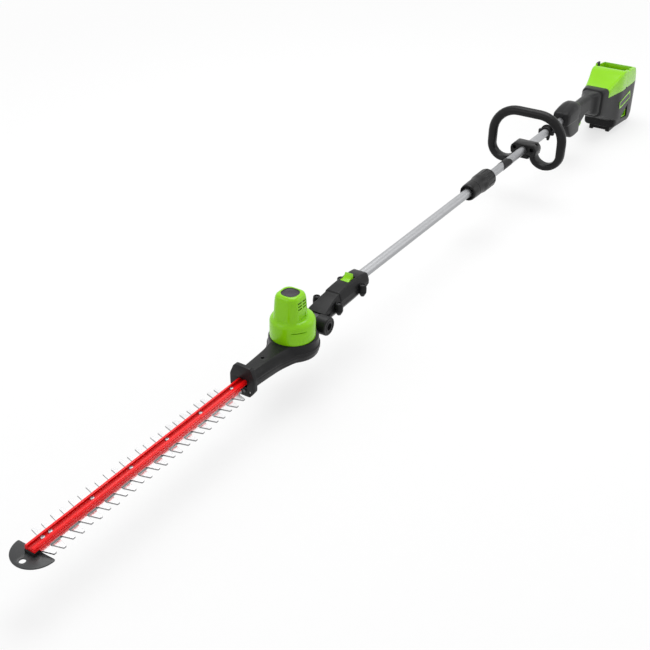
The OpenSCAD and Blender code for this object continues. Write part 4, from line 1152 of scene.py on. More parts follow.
@dataclass
class Head:
    """Hand guard, gear case, motor cover and its cap."""

    case: Flat = (67.0, 51.0)
    seam: float = -34.0
    top: float = -14.0
    floor: float = -50.0
    guard: Flat = (218.0, 231.0)
    guard_half: float = 27.0
    wall: float = 2.5
    neck: Sequence[Sequence[float]] = ((67, 46, 38), (111, 33, 20), (147, 22.5, 14.5),
                                       (226, 13.5, 11))
    motor_x: float = 77.0
    skirt: Flat = (70.0, 44.0)
    tower: Sequence[Sequence[float]] = ((23, 31.5, 22), (27.5, 29.0, 18.5), (33, 27.6, 17),
                                        (52, 26.6, 16.5), (70, 25.4, 16), (75, 24.4, 15.5),
                                        (78.5, 22.6, 14), (80.4, 19.6, 12))

    def build(self) -> None:
        """Makes the pieces of the head."""
        self.hand_guard()
        self.case_top()
        self.case_bottom()
        self.motor_cover()
        self.cap()

    def hand_guard(self) -> None:
        """Shield with rounded corners and a rim behind, cut out for the rail."""
        w = self.guard_half
        outline = filleted([(0.66 * w, 1.5, 8), (-0.66 * w, 1.5, 8), (-w, -20, 16),
                            (-w, -45, 12), (-0.6 * w, -59.5, 7), (0.6 * w, -59.5, 7),
                            (w, -45, 12), (w, -20, 16)])
        rear, front = self.guard
        shield = Piece.drawn("hand_guard_shield", Axis.X, outline, (rear + 4.5, front))
        shield.panel(lambda c, n: n.x < -0.9, 2.6, -5)
        collar = Piece.drawn("collar", Axis.X, filleted([
            (17, -9, 4), (-17, -9, 4), (-17, -50, 5), (17, -50, 5)]), (rear, front - 2))
        shield.weld(collar)
        mouth = Piece.block("mouth", (self.guard[0] - 1, -10.2, -39.8),
                            (self.guard[1] + 1, 10.2, -24.3))
        slot = Piece.block("slot", (self.guard[0] - 1, 14, -54), (self.guard[1] + 1, 17, -46))
        holes = Piece.bar("holes", Axis.X, (5, self.floor + 2.4),
                          (self.guard[0] - 1, self.guard[1] + 1), 1.8, 20)
        holes.copied((0, -10, 0))
        shield.cut(mouth, slot, holes).soften(0.7, 3)
        shield.finish(GREY_CASE, "head", ["hand_guard"])

    def sections(self, levels: Sequence[Tuple[float, float, float]],
                 inset: float = 0.0) -> List[Tuple[float, List[Flat]]]:
        """Sections across a half of the case, from its round rear end to the guard.

        Args:
            levels: radius of the round body, share of the neck's narrowing and z, from the
                lowest level up.
            inset: how far the form is drawn in, 0 outside and the wall inside.

        Returns:
            Stations with their outlines.
        """
        centre, radius = self.case
        radius -= inset
        rear = [centre - radius * math.cos(math.radians(a)) for a in (3, 9, 16, 24, 33, 43, 54,
                                                                     66, 78)]
        necks = {round(row[0], 2): row for row in eased(self.neck, 8)}
        sections = []
        for x in rear + sorted(necks):
            low, high = necks[x][1:] if x in necks else (0.0, 0.0)
            side = []
            for level, (body, narrow, z) in enumerate(levels):
                reach = (body - inset) ** 2 - (x - centre) ** 2
                round_half = math.sqrt(reach) if reach > 0 else 0.3 - 0.01 * level
                neck_half = low + (high - low) * narrow - inset if x in necks else 0.0
                bigger, smaller = max(round_half, neck_half), min(round_half, neck_half)
                blend = max(0.0, 1 - (bigger - smaller) / 7) if x > centre + 20 else 0.0
                if reach <= 0 and side and not neck_half:
                    z = side[-1][1] + 0.01
                side.append((bigger + 1.4 * blend ** 2, z))
            sections.append((x, side + [(-y, z) for y, z in reversed(side)]))
        return sections

    def knuckle_room(self) -> Tuple[Piece, Piece]:
        """Shapes that clear the pivot at the rear of the case."""
        return (Piece.bar("room", Axis.Y, (0, -20), (-47, 47), 20.2, 64),
                Piece.block("seat", (0, -13.02, -37.02), (24.02, 13.02, -2.98)))

    def case_top(self) -> None:
        """Upper case: a round body under the cover and a neck that narrows to the guard."""
        r, s, t, w = self.case[1], self.seam, self.top, self.wall
        body = Piece.shaped("gear_case_upper", Axis.X, self.sections([
            (r, 0, s), (r, 0, s + 3.2), (r - 1.6, 0.1, s + 3.9), (r - 2.2, 0.45, s + 10.5),
            (r - 2.7, 0.8, t - 1.9), (r - 4.4, 0.98, t)]))
        room = Piece.shaped("room", Axis.X, self.sections([
            (r, 0, s - 1), (r - 0.8, 0, s + 3), (r - 2.6, 0.5, s + 10), (r - 3.6, 0.9, t - w - 0.6),
            (r - 4.4, 1.0, t - w)], w))
        mouth = Piece.bar("mouth", Axis.Z, (70, 0), (t - 6, t + 1), 36, 64)
        screw = Piece.bar("screw_hole", Axis.Z, (168, 0), (t - 6, t + 1), 3.4)
        slot = Piece.block("slot", (212, -9.8, s - 2), (227, 9.8, -24.68))
        body.cut(room, mouth, screw, slot, *self.knuckle_room()).soften(0.45, 2, 40)
        body.finish(GREY_CASE, "head", ["gear_case_top"], crease=30)

    def case_bottom(self) -> None:
        """Lower case with a belt under the seam and rounded lower edges."""
        r, s, f, w = self.case[1], self.seam, self.floor, self.wall
        body = Piece.shaped("gear_case_lower", Axis.X, self.sections([
            (r - 8, 0.6, f), (r - 4.2, 0.4, f + 0.9), (r - 2.4, 0.15, f + 4.0),
            (r - 1.8, 0.1, s - 4.4), (r - 0.1, 0, s - 3.8), (r, 0, s)]))
        room = Piece.shaped("room", Axis.X, self.sections([
            (r - 5, 0.3, f + w), (r - 2.6, 0.1, f + 5), (r - 2, 0, s + 1)], w))
        body.cut(room, *self.knuckle_room()).soften(0.45, 2, 40)
        body.finish(GREY_CASE, "head", ["gear_case_bottom"], crease=30)

    def tower_sections(self, inset: float) -> List[Tuple[float, List[Flat]]]:
        """Rounded-square sections of the tower over the motor, drawn in by inset."""
        return [(z - inset * (z > 75), [(x + self.motor_x, y) for x, y in rounded(
            half - inset, inset - half, half - inset, r - inset / 2, r - inset / 2, 7)])
            for z, half, r in eased(self.tower, 4)]

    def motor_cover(self) -> None:
        """Round skirt with a full shoulder, the vented tower that grows out of it, and a black
        sheet behind the vents as painted shade.
        """
        x, r = self.skirt
        t = self.top
        skirt = Piece.turned("motor_cover_shell", Axis.Z, (x, 0), [
            (r - 1.2, t), (r - 0.4, t + 0.5), (r, t + 3), (r - 0.3, t + 33), (r - 1.0, t + 36.5),
            (r - 3.2, t + 40.5), (r - 6.8, t + 43.6), (r - 11, t + 44.8), (r - 15, t + 45.2)], 128)
        tower = Piece.shaped("tower", Axis.Z, self.tower_sections(0))
        room = Piece.bar("room", Axis.Z, (x, 0), (t - 1, t + 40), r - 3, 64)
        tower_room = Piece.shaped("tower_room", Axis.Z, self.tower_sections(2.5))
        field = Piece.block("label_field", (66, 26.0, 33), (90, 30, 44))
        field.round_edges(lambda a, b: abs(a.y - b.y) > 1, 2.5, 4)
        vent = Piece.block("vent", (62.5, 18, 66.3), (75.0, 31, 69.3))
        vent.round_edges(lambda a, b: abs(a.y - b.y) > 1, 1.1, 3)
        vent.copied((15, 0, 0), (0, 0, -6), (15, 0, -6), (0, 0, -12), (15, 0, -12))
        slit = Piece.block("slit", (r - 4, -15, t + 26), (r + 3, 15, t + 27.8))
        slit.moved((x, 0, 0), Axis.Z, 50)
        recess = Piece.drawn("recess", Axis.Z, [
            (a + self.motor_x, b) for a, b in rounded(17, -17, 17, 14.5, 14.5, 10)], (78.5, 85))
        skirt.weld(tower).cut(room, tower_room, field, vent, slit, recess)
        skirt.soften(0.5, 3, 38)
        skirt.finish(GREEN, "head", ["motor_cover"], crease=42)
        # Painted shade: a black sheet behind the vent slots stands in for the shade inside the
        # tower.
        shade_sheet = Piece.block("vent_screen", (61, 23.0, 51), (92, 23.8, 72))
        shade_sheet.split_at(Axis.X, 66, 71, 76, 81, 86).soften(0.2, 1)
        shade_sheet.finish(BLACK_PART, "head", [], "black_part")

    def cap(self) -> None:
        """Dark plate let into the top of the cover, bare."""
        cap = Piece.drawn("cover_cap_plate", Axis.Z, [
            (a + self.motor_x, b) for a, b in rounded(16.9, -16.9, 16.9, 14.4, 14.4, 10)],
            (77.5, 80.0))
        cap.soften(0.5, 3)
        cap.panel(lambda c, n: n.z > 0.9, 1.6, 0)
        cap.panel(lambda c, n: n.z > 0.9 and abs(c.y) < 14 and abs(c.x - self.motor_x) < 14,
                  0.5, -0.35)
        cap.finish(CHARCOAL, "head", ["cover_cap"])


@dataclass
class Bracket:
    """Head pivot and the two shells that clamp it to the tube, with the release button."""

    pivot_z: float = -20.0
    ear_r: float = 19.0
    ears: Flat = (13.3, 38.0)
    cap_depth: float = 8.0
    half: float = 21.0
    seam: float = -11.0
    tube: Flat = (-142.0, 10.55)
    crown: Sequence[Sequence[float]] = (
        (-181, 7.0, 3.2), (-180.2, 9.4, 1.5), (-178.5, 11.6, 0.5), (-176, 13, 0), (-146, 17, 0),
        (-106, 17, 0), (-73, 13.6, 0), (-71.6, 13.2, 0.1), (-70.4, 11.6, 1.4), (-56, 8.8, 1.2),
        (-40, 4.6, 1.0), (-24, 0.2, 1.0), (-12, -4.4, 1.2))
    keel: Sequence[Sequence[float]] = (
        (-177, -14, 2.6), (-176, -17.5, 1.0), (-173, -21.5, 0), (-131, -26.5, 0), (-30, -29, 0))
    bosses: Sequence[Flat] = ((-54, 26), (-54, -26), (-144, 26), (-144, -26))
    button: Flat = (-135.0, -114.0)
    saddle: Flat = (-113.0, 37.3)

    def build(self) -> None:
        """Makes the pieces of the bracket."""
        self.yoke()
        self.bolt_and_cap()
        self.upper_shell()
        self.lower_shell()
        self.release()

    def yoke(self) -> None:
        """Block between the shells with two round ears that hold the pivot bolt."""
        near, far = self.ears
        z, r = self.pivot_z, self.ear_r
        ears = Piece.turned("pivot_yoke_ears", Axis.Y, (0, z), [
            (ON_AXIS, near), (r - 0.6, near), (r, near + 0.6), (r, far - 2.8), (r - 0.7, far - 1.0),
            (r - 1.9, far), (r - 5.0, far), (r - 5.5, far - 0.8), (r - 7.8, far - 0.8),
            (r - 8.3, far), (ON_AXIS, far)], 72)
        ears.weld(Piece.block("web", (-28.5, near, z - 16), (0, 24, z + 8)).soften(1.2, 2))
        ears.mirrored()
        block = Piece.block("block", (-60, -16, -26), (-28, 16, -8)).soften(0.8, 2)
        bore = Piece.bar("bore", Axis.Y, (0, z), (-far - 1, far + 1), 4.05, 32)
        recess = Piece.bar("recess", Axis.Y, (0, z), (26, far + 1), 7.6, 40)
        channel = Piece.block("channel", (-61, -5.3, -24.3), (-27, 5.3, -15.7))
        ears.weld(block).cut(bore, recess, channel).soften(0.35, 2, 45)
        ears.finish(GREY_CASE, "pole", ["pivot_yoke"])

    def bolt_and_cap(self) -> None:
        """Socket bolt through the pivot and the scalloped cap on its nut."""
        z, far = self.pivot_z, self.ears[1]
        bolt = Piece.turned("pivot_bolt_turned", Axis.Y, (0, z), [
            (ON_AXIS, -43), (3.5, -43), (4, -42.5), (4, 26), (6.8, 26), (6.8, 31.2), (6.2, 32),
            (ON_AXIS, 32)], 40)
        bolt.cut(Piece.bar("socket", Axis.Y, (0, z), (28.5, 33), 3.4, 6)).soften(0.2, 2)
        bolt.finish(STEEL, "pole", ["pivot_bolt"])
        r, out = self.ear_r + 3, -far - self.cap_depth
        cap = Piece.turned("pivot_cap_knurled", Axis.Y, (0, z), [
            (ON_AXIS, -far), (r - 0.5, -far), (r, -far - 0.5), (r, out + 1.8), (r - 0.7, out + 0.6),
            (r - 2.2, out), (13, out), (12, out + 0.9), (6.5, out + 0.9), (5.5, out),
            (ON_AXIS, out)], 96)
        angles = [math.radians(45 * i) for i in range(8)]
        scallops = Piece.bars("scallops", Axis.Y, [
            ((r + 2.5) * math.cos(a), z + (r + 2.5) * math.sin(a)) for a in angles],
            (out - 1, -far + 1), 4.0)
        bore = Piece.bar("bore", Axis.Y, (0, z), (-43.1, -far + 1), 4.05, 32)
        cap.cut(scallops, bore).soften(0.45, 2, 40)
        cap.finish(BLACK_PART, "pole", ["pivot_nut_cap"])

    def rooms(self) -> List[Piece]:
        """Shapes that clear the tube, the yoke, the lock bar and the turning head."""
        edge, bore = self.tube
        return [Piece.bar("tube_room", Axis.X, (0, 0), (self.crown[0][0] - 1, edge + 1), bore, 64),
                Piece.block("bar_room", (edge - 8, -15, -24.3), (-72, 15, 9.7)),
                Piece.block("yoke_room", (-73, -16.05, -26.05), (-27.9, 16.05, -7.95)),
                Piece.bar("head_room", Axis.Y, (0, self.pivot_z), (-30, 30), 20.2, 72)]

    def upper_shell(self) -> None:
        """Long hood with a step across it, four screw bosses and the button's slot."""
        sections = []
        for x, top, inward in eased(self.crown, 4):
            w = self.half - inward
            knee, narrow = min(-3.0, top - 1.5), w - 0.31 * max(0.0, top + 3)
            sections.append((x, filleted([
                (w, self.seam, 0), (w, knee, 3), (narrow, top, 5.0), (-narrow, top, 5.0),
                (-w, knee, 3), (-w, self.seam, 0)])))
        shell = Piece.shaped("bracket_upper_shell", Axis.X, sections)
        s = self.seam
        boss = Piece.turned("boss", Axis.Z, self.bosses[0], [
            (2.05, s), (7.8, s), (8.3, s + 0.5), (8.3, -4.4), (7.9, -3.4), (7.5, 1.2), (7.0, 2.4),
            (6.0, 3), (4.3, 3), (3.7, 2.4), (3.7, -1), (2.05, -1)], 40, closed=True)
        slot = Piece.block("slot", (self.button[0] - 6.5, -10.3, 5),
                           (self.button[1] + 0.5, 10.3, 20))
        shell.weld(*self.four(boss)).cut(*self.rooms(), slot).soften(0.5, 2, 42)
        shell.finish(GREY, "pole", ["bracket_upper"], crease=40)

    def lower_shell(self) -> None:
        """Trough under the tube with the lower halves of the bosses."""
        sections = []
        for x, bottom, inward in eased(self.keel, 8):
            w = self.half - inward
            knee = min(self.seam - 2, bottom + 10)
            sections.append((x, filleted([
                (w, self.seam, 0), (w, knee, 4), (w - 5.5, bottom, 5), (5.5 - w, bottom, 5),
                (-w, knee, 4), (-w, self.seam, 0)])))
        shell = Piece.shaped("bracket_lower_shell", Axis.X, sections)
        s = self.seam
        boss = Piece.turned("boss", Axis.Z, self.bosses[0], [
            (ON_AXIS, -22), (2.05, -22), (2.05, s), (7.8, s), (8.3, s - 0.5), (8.1, -14.5),
            (7.2, -17), (5.4, -20), (4.0, -22.8), (ON_AXIS, -23.4)], 40)
        shell.weld(*self.four(boss)).cut(*self.rooms()).soften(0.5, 2, 42)
        shell.finish(GREY, "pole", ["bracket_lower"], crease=40)

    def four(self, boss: Piece) -> List[Piece]:
        """A boss and its copies at the other screw places."""
        x, y = self.bosses[0]
        return [boss] + [boss.twin("boss", (a - x, b - y, 0)) for a, b in self.bosses[1:]]

    def release(self) -> None:
        """Saddle-shaped button with a hollow for the thumb."""
        back, front = self.button
        x, z = self.saddle
        hollow = arc((x, z), 21.1, 209.1, 267, 10)
        outline = [(back, 9), (back, 20), (back + 0.6, 25), (back + 1.6, 26.8), *hollow,
                   (front, 16), (front, 9)]
        button = Piece.drawn("release_button_saddle", Axis.Y, outline, (-10, 10))
        button.split_at(Axis.Z, 17.5)
        button.squeeze(lambda c, n: c.z > 17.5 and abs(n.y) < 0.9, (1, 0.84, 1), (0, 0, 0))
        button.outwards().soften(0.8, 3, 40)
        flange = Piece.block("flange", (back, -13, 7.2), (front, 13, 9.2)).soften(0.4, 2)
        button.weld(flange)
        button.finish(GREEN, "release", ["release_button"])


@dataclass
class Pole:
    """The two tubes, the joint's collar and the black band on the rear tube."""

    tube_r: float = 10.5
    bore_r: float = 9.0
    joint: float = -736.0
    front_end: float = -142.0
    rear_end: float = -1321.0
    collar: Flat = (-795.0, -677.0)
    rear_r: float = 23.5
    front_r: float = 20.5
    socket_r: float = 15.05
    band: Flat = (-893.0, 30.0)

    def build(self) -> None:
        """Makes the pieces of the pole."""
        self.tubes()
        self.collar_sleeve()
        self.height_band()

    def tubes(self) -> None:
        """Drawn tubes; the rear one ends in a flange under the collar."""
        r, bore, gap = self.tube_r, self.bore_r, 0.3
        front, end = self.joint + gap, self.front_end
        tube = Piece.turned("front_tube_drawn", Axis.X, (0, 0), [
            (r - 0.3, front), (r, front + 0.3), (r, end - 0.3), (r - 0.3, end), (bore, end),
            (bore, front)], 72, closed=True)
        tube.finish(TUBE, "pole", ["front_tube"])
        back, end = self.rear_end, self.joint - gap
        tube = Piece.turned("rear_tube_drawn", Axis.X, (0, 0), [
            (r - 0.3, back), (r, back + 0.3), (r, end - 6.7), (13.7, end - 6.7), (14, end - 6.4),
            (14, end - 0.3), (13.7, end), (bore, end), (bore, back)], 72, closed=True)
        tube.finish(TUBE, "pole", ["rear_tube"])

    def collar_sleeve(self) -> None:
        """Screwed sleeve with finger flutes round its thick rear part."""
        back, front = self.collar
        r, f, s, inner = self.rear_r, self.front_r, self.socket_r, self.tube_r + 0.3
        sleeve = Piece.turned("collar_sleeve", Axis.X, (0, 0), [
            (inner, back), (r - 5.5, back), (r - 4.6, back + 0.4), (r - 2.2, back + 1.6),
            (r - 0.6, back + 3.8), (r, back + 6.5), (r, back + 52), (r - 0.5, back + 55),
            (f + 1.1, back + 63), (f + 0.6, back + 66), (f + 0.6, front - 26),
            (f + 0.1, front - 7), (f - 0.5, front - 2.6), (f - 1.8, front - 0.5), (f - 2.6, front),
            (s + 2.2, front), (s + 1.6, front - 0.6), (s, front - 8), (s, back + 51.5),
            (inner, back + 51.5)], 120, closed=True)
        flutes = []
        for i in range(12):
            a = math.radians(30 * i)
            flat = ((r + 2.2) * math.cos(a), (r + 2.2) * math.sin(a))
            flute = Piece.bar("flute", Axis.X, flat, (back + 6.5, back + 45.5), 3.6, 24)
            flutes.append(flute.soften(1.6, 3, 60))
        sleeve.cut(flutes[0].join(*flutes[1:]))
        groove = Piece.turned("groove", Axis.X, (0, 0), [
            (f + 3, front - 30), (f + 3, front - 28.6), (f - 0.1, front - 28.6),
            (f - 0.1, front - 30)], 96, closed=True)
        sleeve.cut(groove).soften(0.35, 2, 40)
        sleeve.finish(BLACK_GRIP, "collar", ["collar"])

    def height_band(self) -> None:
        """Thin black sleeve on the rear tube, pointed at both ends."""
        middle, half = self.band
        band = Piece.turned("height_band_sleeve", Axis.X, (0, 0), [
            (self.tube_r + 0.05, middle - half), (self.tube_r + 0.6, middle - half),
            (self.tube_r + 0.6, middle + half), (self.tube_r + 0.05, middle + half)], 96,
            closed=True)
        notch = Piece.drawn("notch", Axis.Z, [
            (middle + half - 15.5, 0), (middle + half, 15.5), (middle + half + 15.5, 0),
            (middle + half, -15.5)], (-20, 20))
        band.cut(notch.twin("notch", (-2 * half, 0, 0)), notch)
        band.finish(BLACK_PART, "pole", ["height_band"])


@dataclass
class LoopHandle:
    """Loop of soft plastic that is round at the top and broad where it meets its block."""

    x: float = -1027.0
    crown: Sequence[float] = (30.0, 31.0, 66.0)
    lobe: Sequence[float] = (58.0, 0.0, 38.0)
    bar_r: float = 12.2
    block: Sequence[Point] = ((-34, -12, 2), (34, -12, 2), (36, 2, 8), (34, 9, 7), (27, 16.5, 7),
                              (-27, 16.5, 7), (-34, 9, 7), (-36, 2, 8))
    half_width: float = 19.0
    bore: float = 10.55
    screws: Sequence[Flat] = ((-11, 13.2), (-11, -13.2), (11, 13.2), (11, -13.2))

    def build(self) -> None:
        """Makes the loop with its block, and the saddle under the tube."""
        self.loop()
        self.saddle()

    def course(self) -> List[Sequence[float]]:
        """The bar from its end in the block over one lobe to the middle of the top.

        Returns:
            Rows of y, z, the outward direction in degrees, half the thickness, half the
            width and how square the section is, 1 being round.
        """
        rows = [(24.0, -6.0, -175, 8.5, 18.4, 0.6), (24.6, -14.0, -160, 8.5, 18.2, 0.6),
                (27.2, -21.5, -145, 8.5, 17.8, 0.6)]
        y, z, r = self.lobe
        for i in range(16):
            a, t = math.radians(9 * i - 135), i / 15
            rows.append((y + r * math.cos(a), z + r * math.sin(a), 9 * i - 135,
                         8.5 - 0.8 * math.sin(math.pi * t) + 2.6 * t, 17.4 - 3.2 * t,
                         0.6 + 0.28 * t))
        y, z, r = self.crown
        for i in (1, 2, 3):
            t = i / 4
            rows.append((y + r, z * t, 0, 11.1 + 1.1 * t, 14.2 - 1.4 * t, 0.88 + 0.12 * t))
        for i in range(11):
            a = math.radians(9 * i)
            rows.append((y + r * math.cos(a), z + r * math.sin(a), 9 * i, self.bar_r,
                         self.bar_r + 0.6, 1.0))
        return rows + [(y * k, z + r, 90, self.bar_r, self.bar_r + 0.6, 1.0) for k in (0.6, 0.3)]

    def ring(self, row: Sequence[float], side: int) -> List[Point]:
        """Corners of the bar's section at one row of the course, on one side of the pole."""
        y, z, direction, thick, wide, square = row
        across = (math.cos(math.radians(direction)), math.sin(math.radians(direction)))
        corners = []
        for i in range(24):
            c, s = math.cos(math.radians(15 * i)), math.sin(math.radians(15 * i))
            out = thick * math.copysign(abs(c) ** square, c)
            along = wide * math.copysign(abs(s) ** square, s)
            corners.append((self.x + along, side * (y + out * across[0]), z + out * across[1]))
        return corners

    def loop(self) -> None:
        """The loop and its block, with the bore, the pockets and the screw holes."""
        half = self.course()
        rings = [self.ring(row, 1) for row in half] + [self.ring((0, *half[-1][1:]), 1)]
        rings += [self.ring(row, -1) for row in reversed(half)]
        x, w, b = self.x, self.half_width, self.bore
        rims = ((0.0, 2.2), (0.3, 1.2), (1.0, 0.4), (2.2, 0.0))
        stations = [(x - w + a, d) for a, d in rims] + [(x + w - a, d) for a, d in reversed(rims)]
        block = Piece.shaped("loop_handle_bar", Axis.X, [
            (station, [(y * (1 - d / 35), 2 + (z - 2) * (1 - d / 14))
                       for y, z in filleted(self.block)]) for station, d in stations])
        bore = Piece.bar("bore", Axis.X, (0, 0), (x - 30, x + 30), b, 72)
        mouth = Piece.block("mouth", (x - 30, -b + 0.02, -40), (x + 30, b - 0.02, 0))
        seat = Piece.block("seat", (x - 30, -15.55, -40), (x + 30, 15.55, -12))
        pockets = Piece.bars("pockets", Axis.X, [(24, 5), (-24, 5)], (x + 8, x + 22), 5.5, 32)
        rear = Piece.bars("pockets", Axis.X, [(24, 5), (-24, 5)], (x - 22, x - 8), 5.5, 32)
        hole = Piece.bar("hole", Axis.Z, (x - 2, 27), (8, 20), 4.0, 32)
        holes = Piece.bars("holes", Axis.Z, self.screw_places(), (-13, 9), 2.05, 20)
        block.cut(bore, mouth, seat, pockets, rear, hole, holes)
        block.weld(Piece.skinned("bar", rings)).soften(0.5, 2, 50)
        block.finish(BLACK_GRIP, "assist_handle", ["loop_handle"], crease=48)

    def screw_places(self) -> List[Flat]:
        """Where the four screws of the saddle stand."""
        return [(self.x + a, b) for a, b in self.screws]

    def saddle(self) -> None:
        """Cap under the tube that the four screws draw up to the block."""
        x, w = self.x, self.half_width
        saddle = Piece.block("loop_saddle_cap", (x - w, -15.5, -22), (x + w, 15.5, -12.05))
        saddle.soften(1.4, 3)
        tongue = Piece.block("tongue", (x - w, -self.bore + 0.1, -13),
                             (x + w, self.bore - 0.1, -0.4))
        bore = Piece.bar("bore", Axis.X, (0, 0), (x - 30, x + 30), self.bore, 72)
        holes = Piece.bars("holes", Axis.Z, self.screw_places(), (-23, -11), 2.05, 20)
        heads = Piece.bars("heads", Axis.Z, self.screw_places(), (-23, -20), 3.6, 28)
        saddle.weld(tongue).cut(bore, holes, heads).soften(0.3, 2, 48)
        saddle.finish(BLACK_GRIP, "assist_handle", ["loop_saddle"])


@dataclass
class StrapRing:
    """Clamp ring with the strap eye behind the loop handle."""

    x: float = -1169.0
    bore: float = 10.55
    ring_r: float = 15.0
    flange_r: float = 19.0
    ear: float = 22.0
    screw_y: float = 17.5
    eye: Sequence[float] = (23.0, 12.0, 3.5)

    def build(self) -> None:
        """Makes the upper ring with its eye and the lower half."""
        x, r, f, b = self.x, self.ring_r, self.flange_r, self.bore
        ring = Piece.turned("strap_ring_clamp", Axis.X, (0, 0), [
            (b, x - 8), (f - 0.6, x - 8), (f, x - 7.4), (f, x - 5.6), (f - 0.6, x - 5),
            (r + 0.8, x - 5), (r, x - 4.2), (r, x + 5), (r - 1, x + 6), (b, x + 6)], 72,
            closed=True)
        ring.trim((0, 0, 0.02), (0, 0, -1))
        plate = Piece.drawn("plate", Axis.X, filleted([
            (11.2, 8, 0), (14, 0.02, 0), (27, 0.02, 2), (30, 6, 3), (30, 17, 3), (24, 22, 4),
            (11.5, 17, 2)]), (x - 8, x - 4))
        ears = self.ears(0.02, 5)
        eye = Piece.bar("eye", Axis.X, self.eye[:2], (x - 9, x - 3), self.eye[2], 32)
        ring.weld(plate, *ears).cut(eye, self.screw_holes()).soften(0.45, 2, 42)
        ring.finish(BLACK_PART, "pole", ["strap_ring"])
        half = Piece.turned("strap_ring_lower", Axis.X, (0, 0), [
            (b, x - 6), (r - 0.8, x - 6), (r, x - 5.2), (r, x + 5.2), (r - 0.8, x + 6),
            (b, x + 6)], 72, closed=True)
        half.trim((0, 0, -0.05), (0, 0, 1))
        hook = Piece.drawn("hook", Axis.X, filleted([
            (2, -12, 0), (12, -9.5, 0), (10, -22, 2.5), (4, -22, 2.5)]), (x - 2, x + 2))
        half.weld(hook, *self.ears(-5, -0.05)).cut(self.screw_holes()).soften(0.45, 2, 42)
        half.finish(BLACK_PART, "pole", ["strap_ring_half"])

    def ears(self, low: float, high: float) -> List[Piece]:
        """The two flat ears that the screws draw together."""
        ears = []
        for side in (1, -1):
            span = on_side(side, 11.4, self.ear)
            ear = Piece.block("ear", (self.x - 6, span[0], low), (self.x + 6, span[1], high))
            ears.append(ear.round_edges(
                lambda a, b: abs(a.z - b.z) > 1 and abs(a.y) > 20 and abs(b.y) > 20, 4, 5))
        return ears

    def screw_holes(self) -> Piece:
        """Bores for the two clamp screws."""
        return Piece.bars("holes", Axis.Z, [(self.x, self.screw_y), (self.x, -self.screw_y)],
                          (-6, 6.5), 1.8, 20)


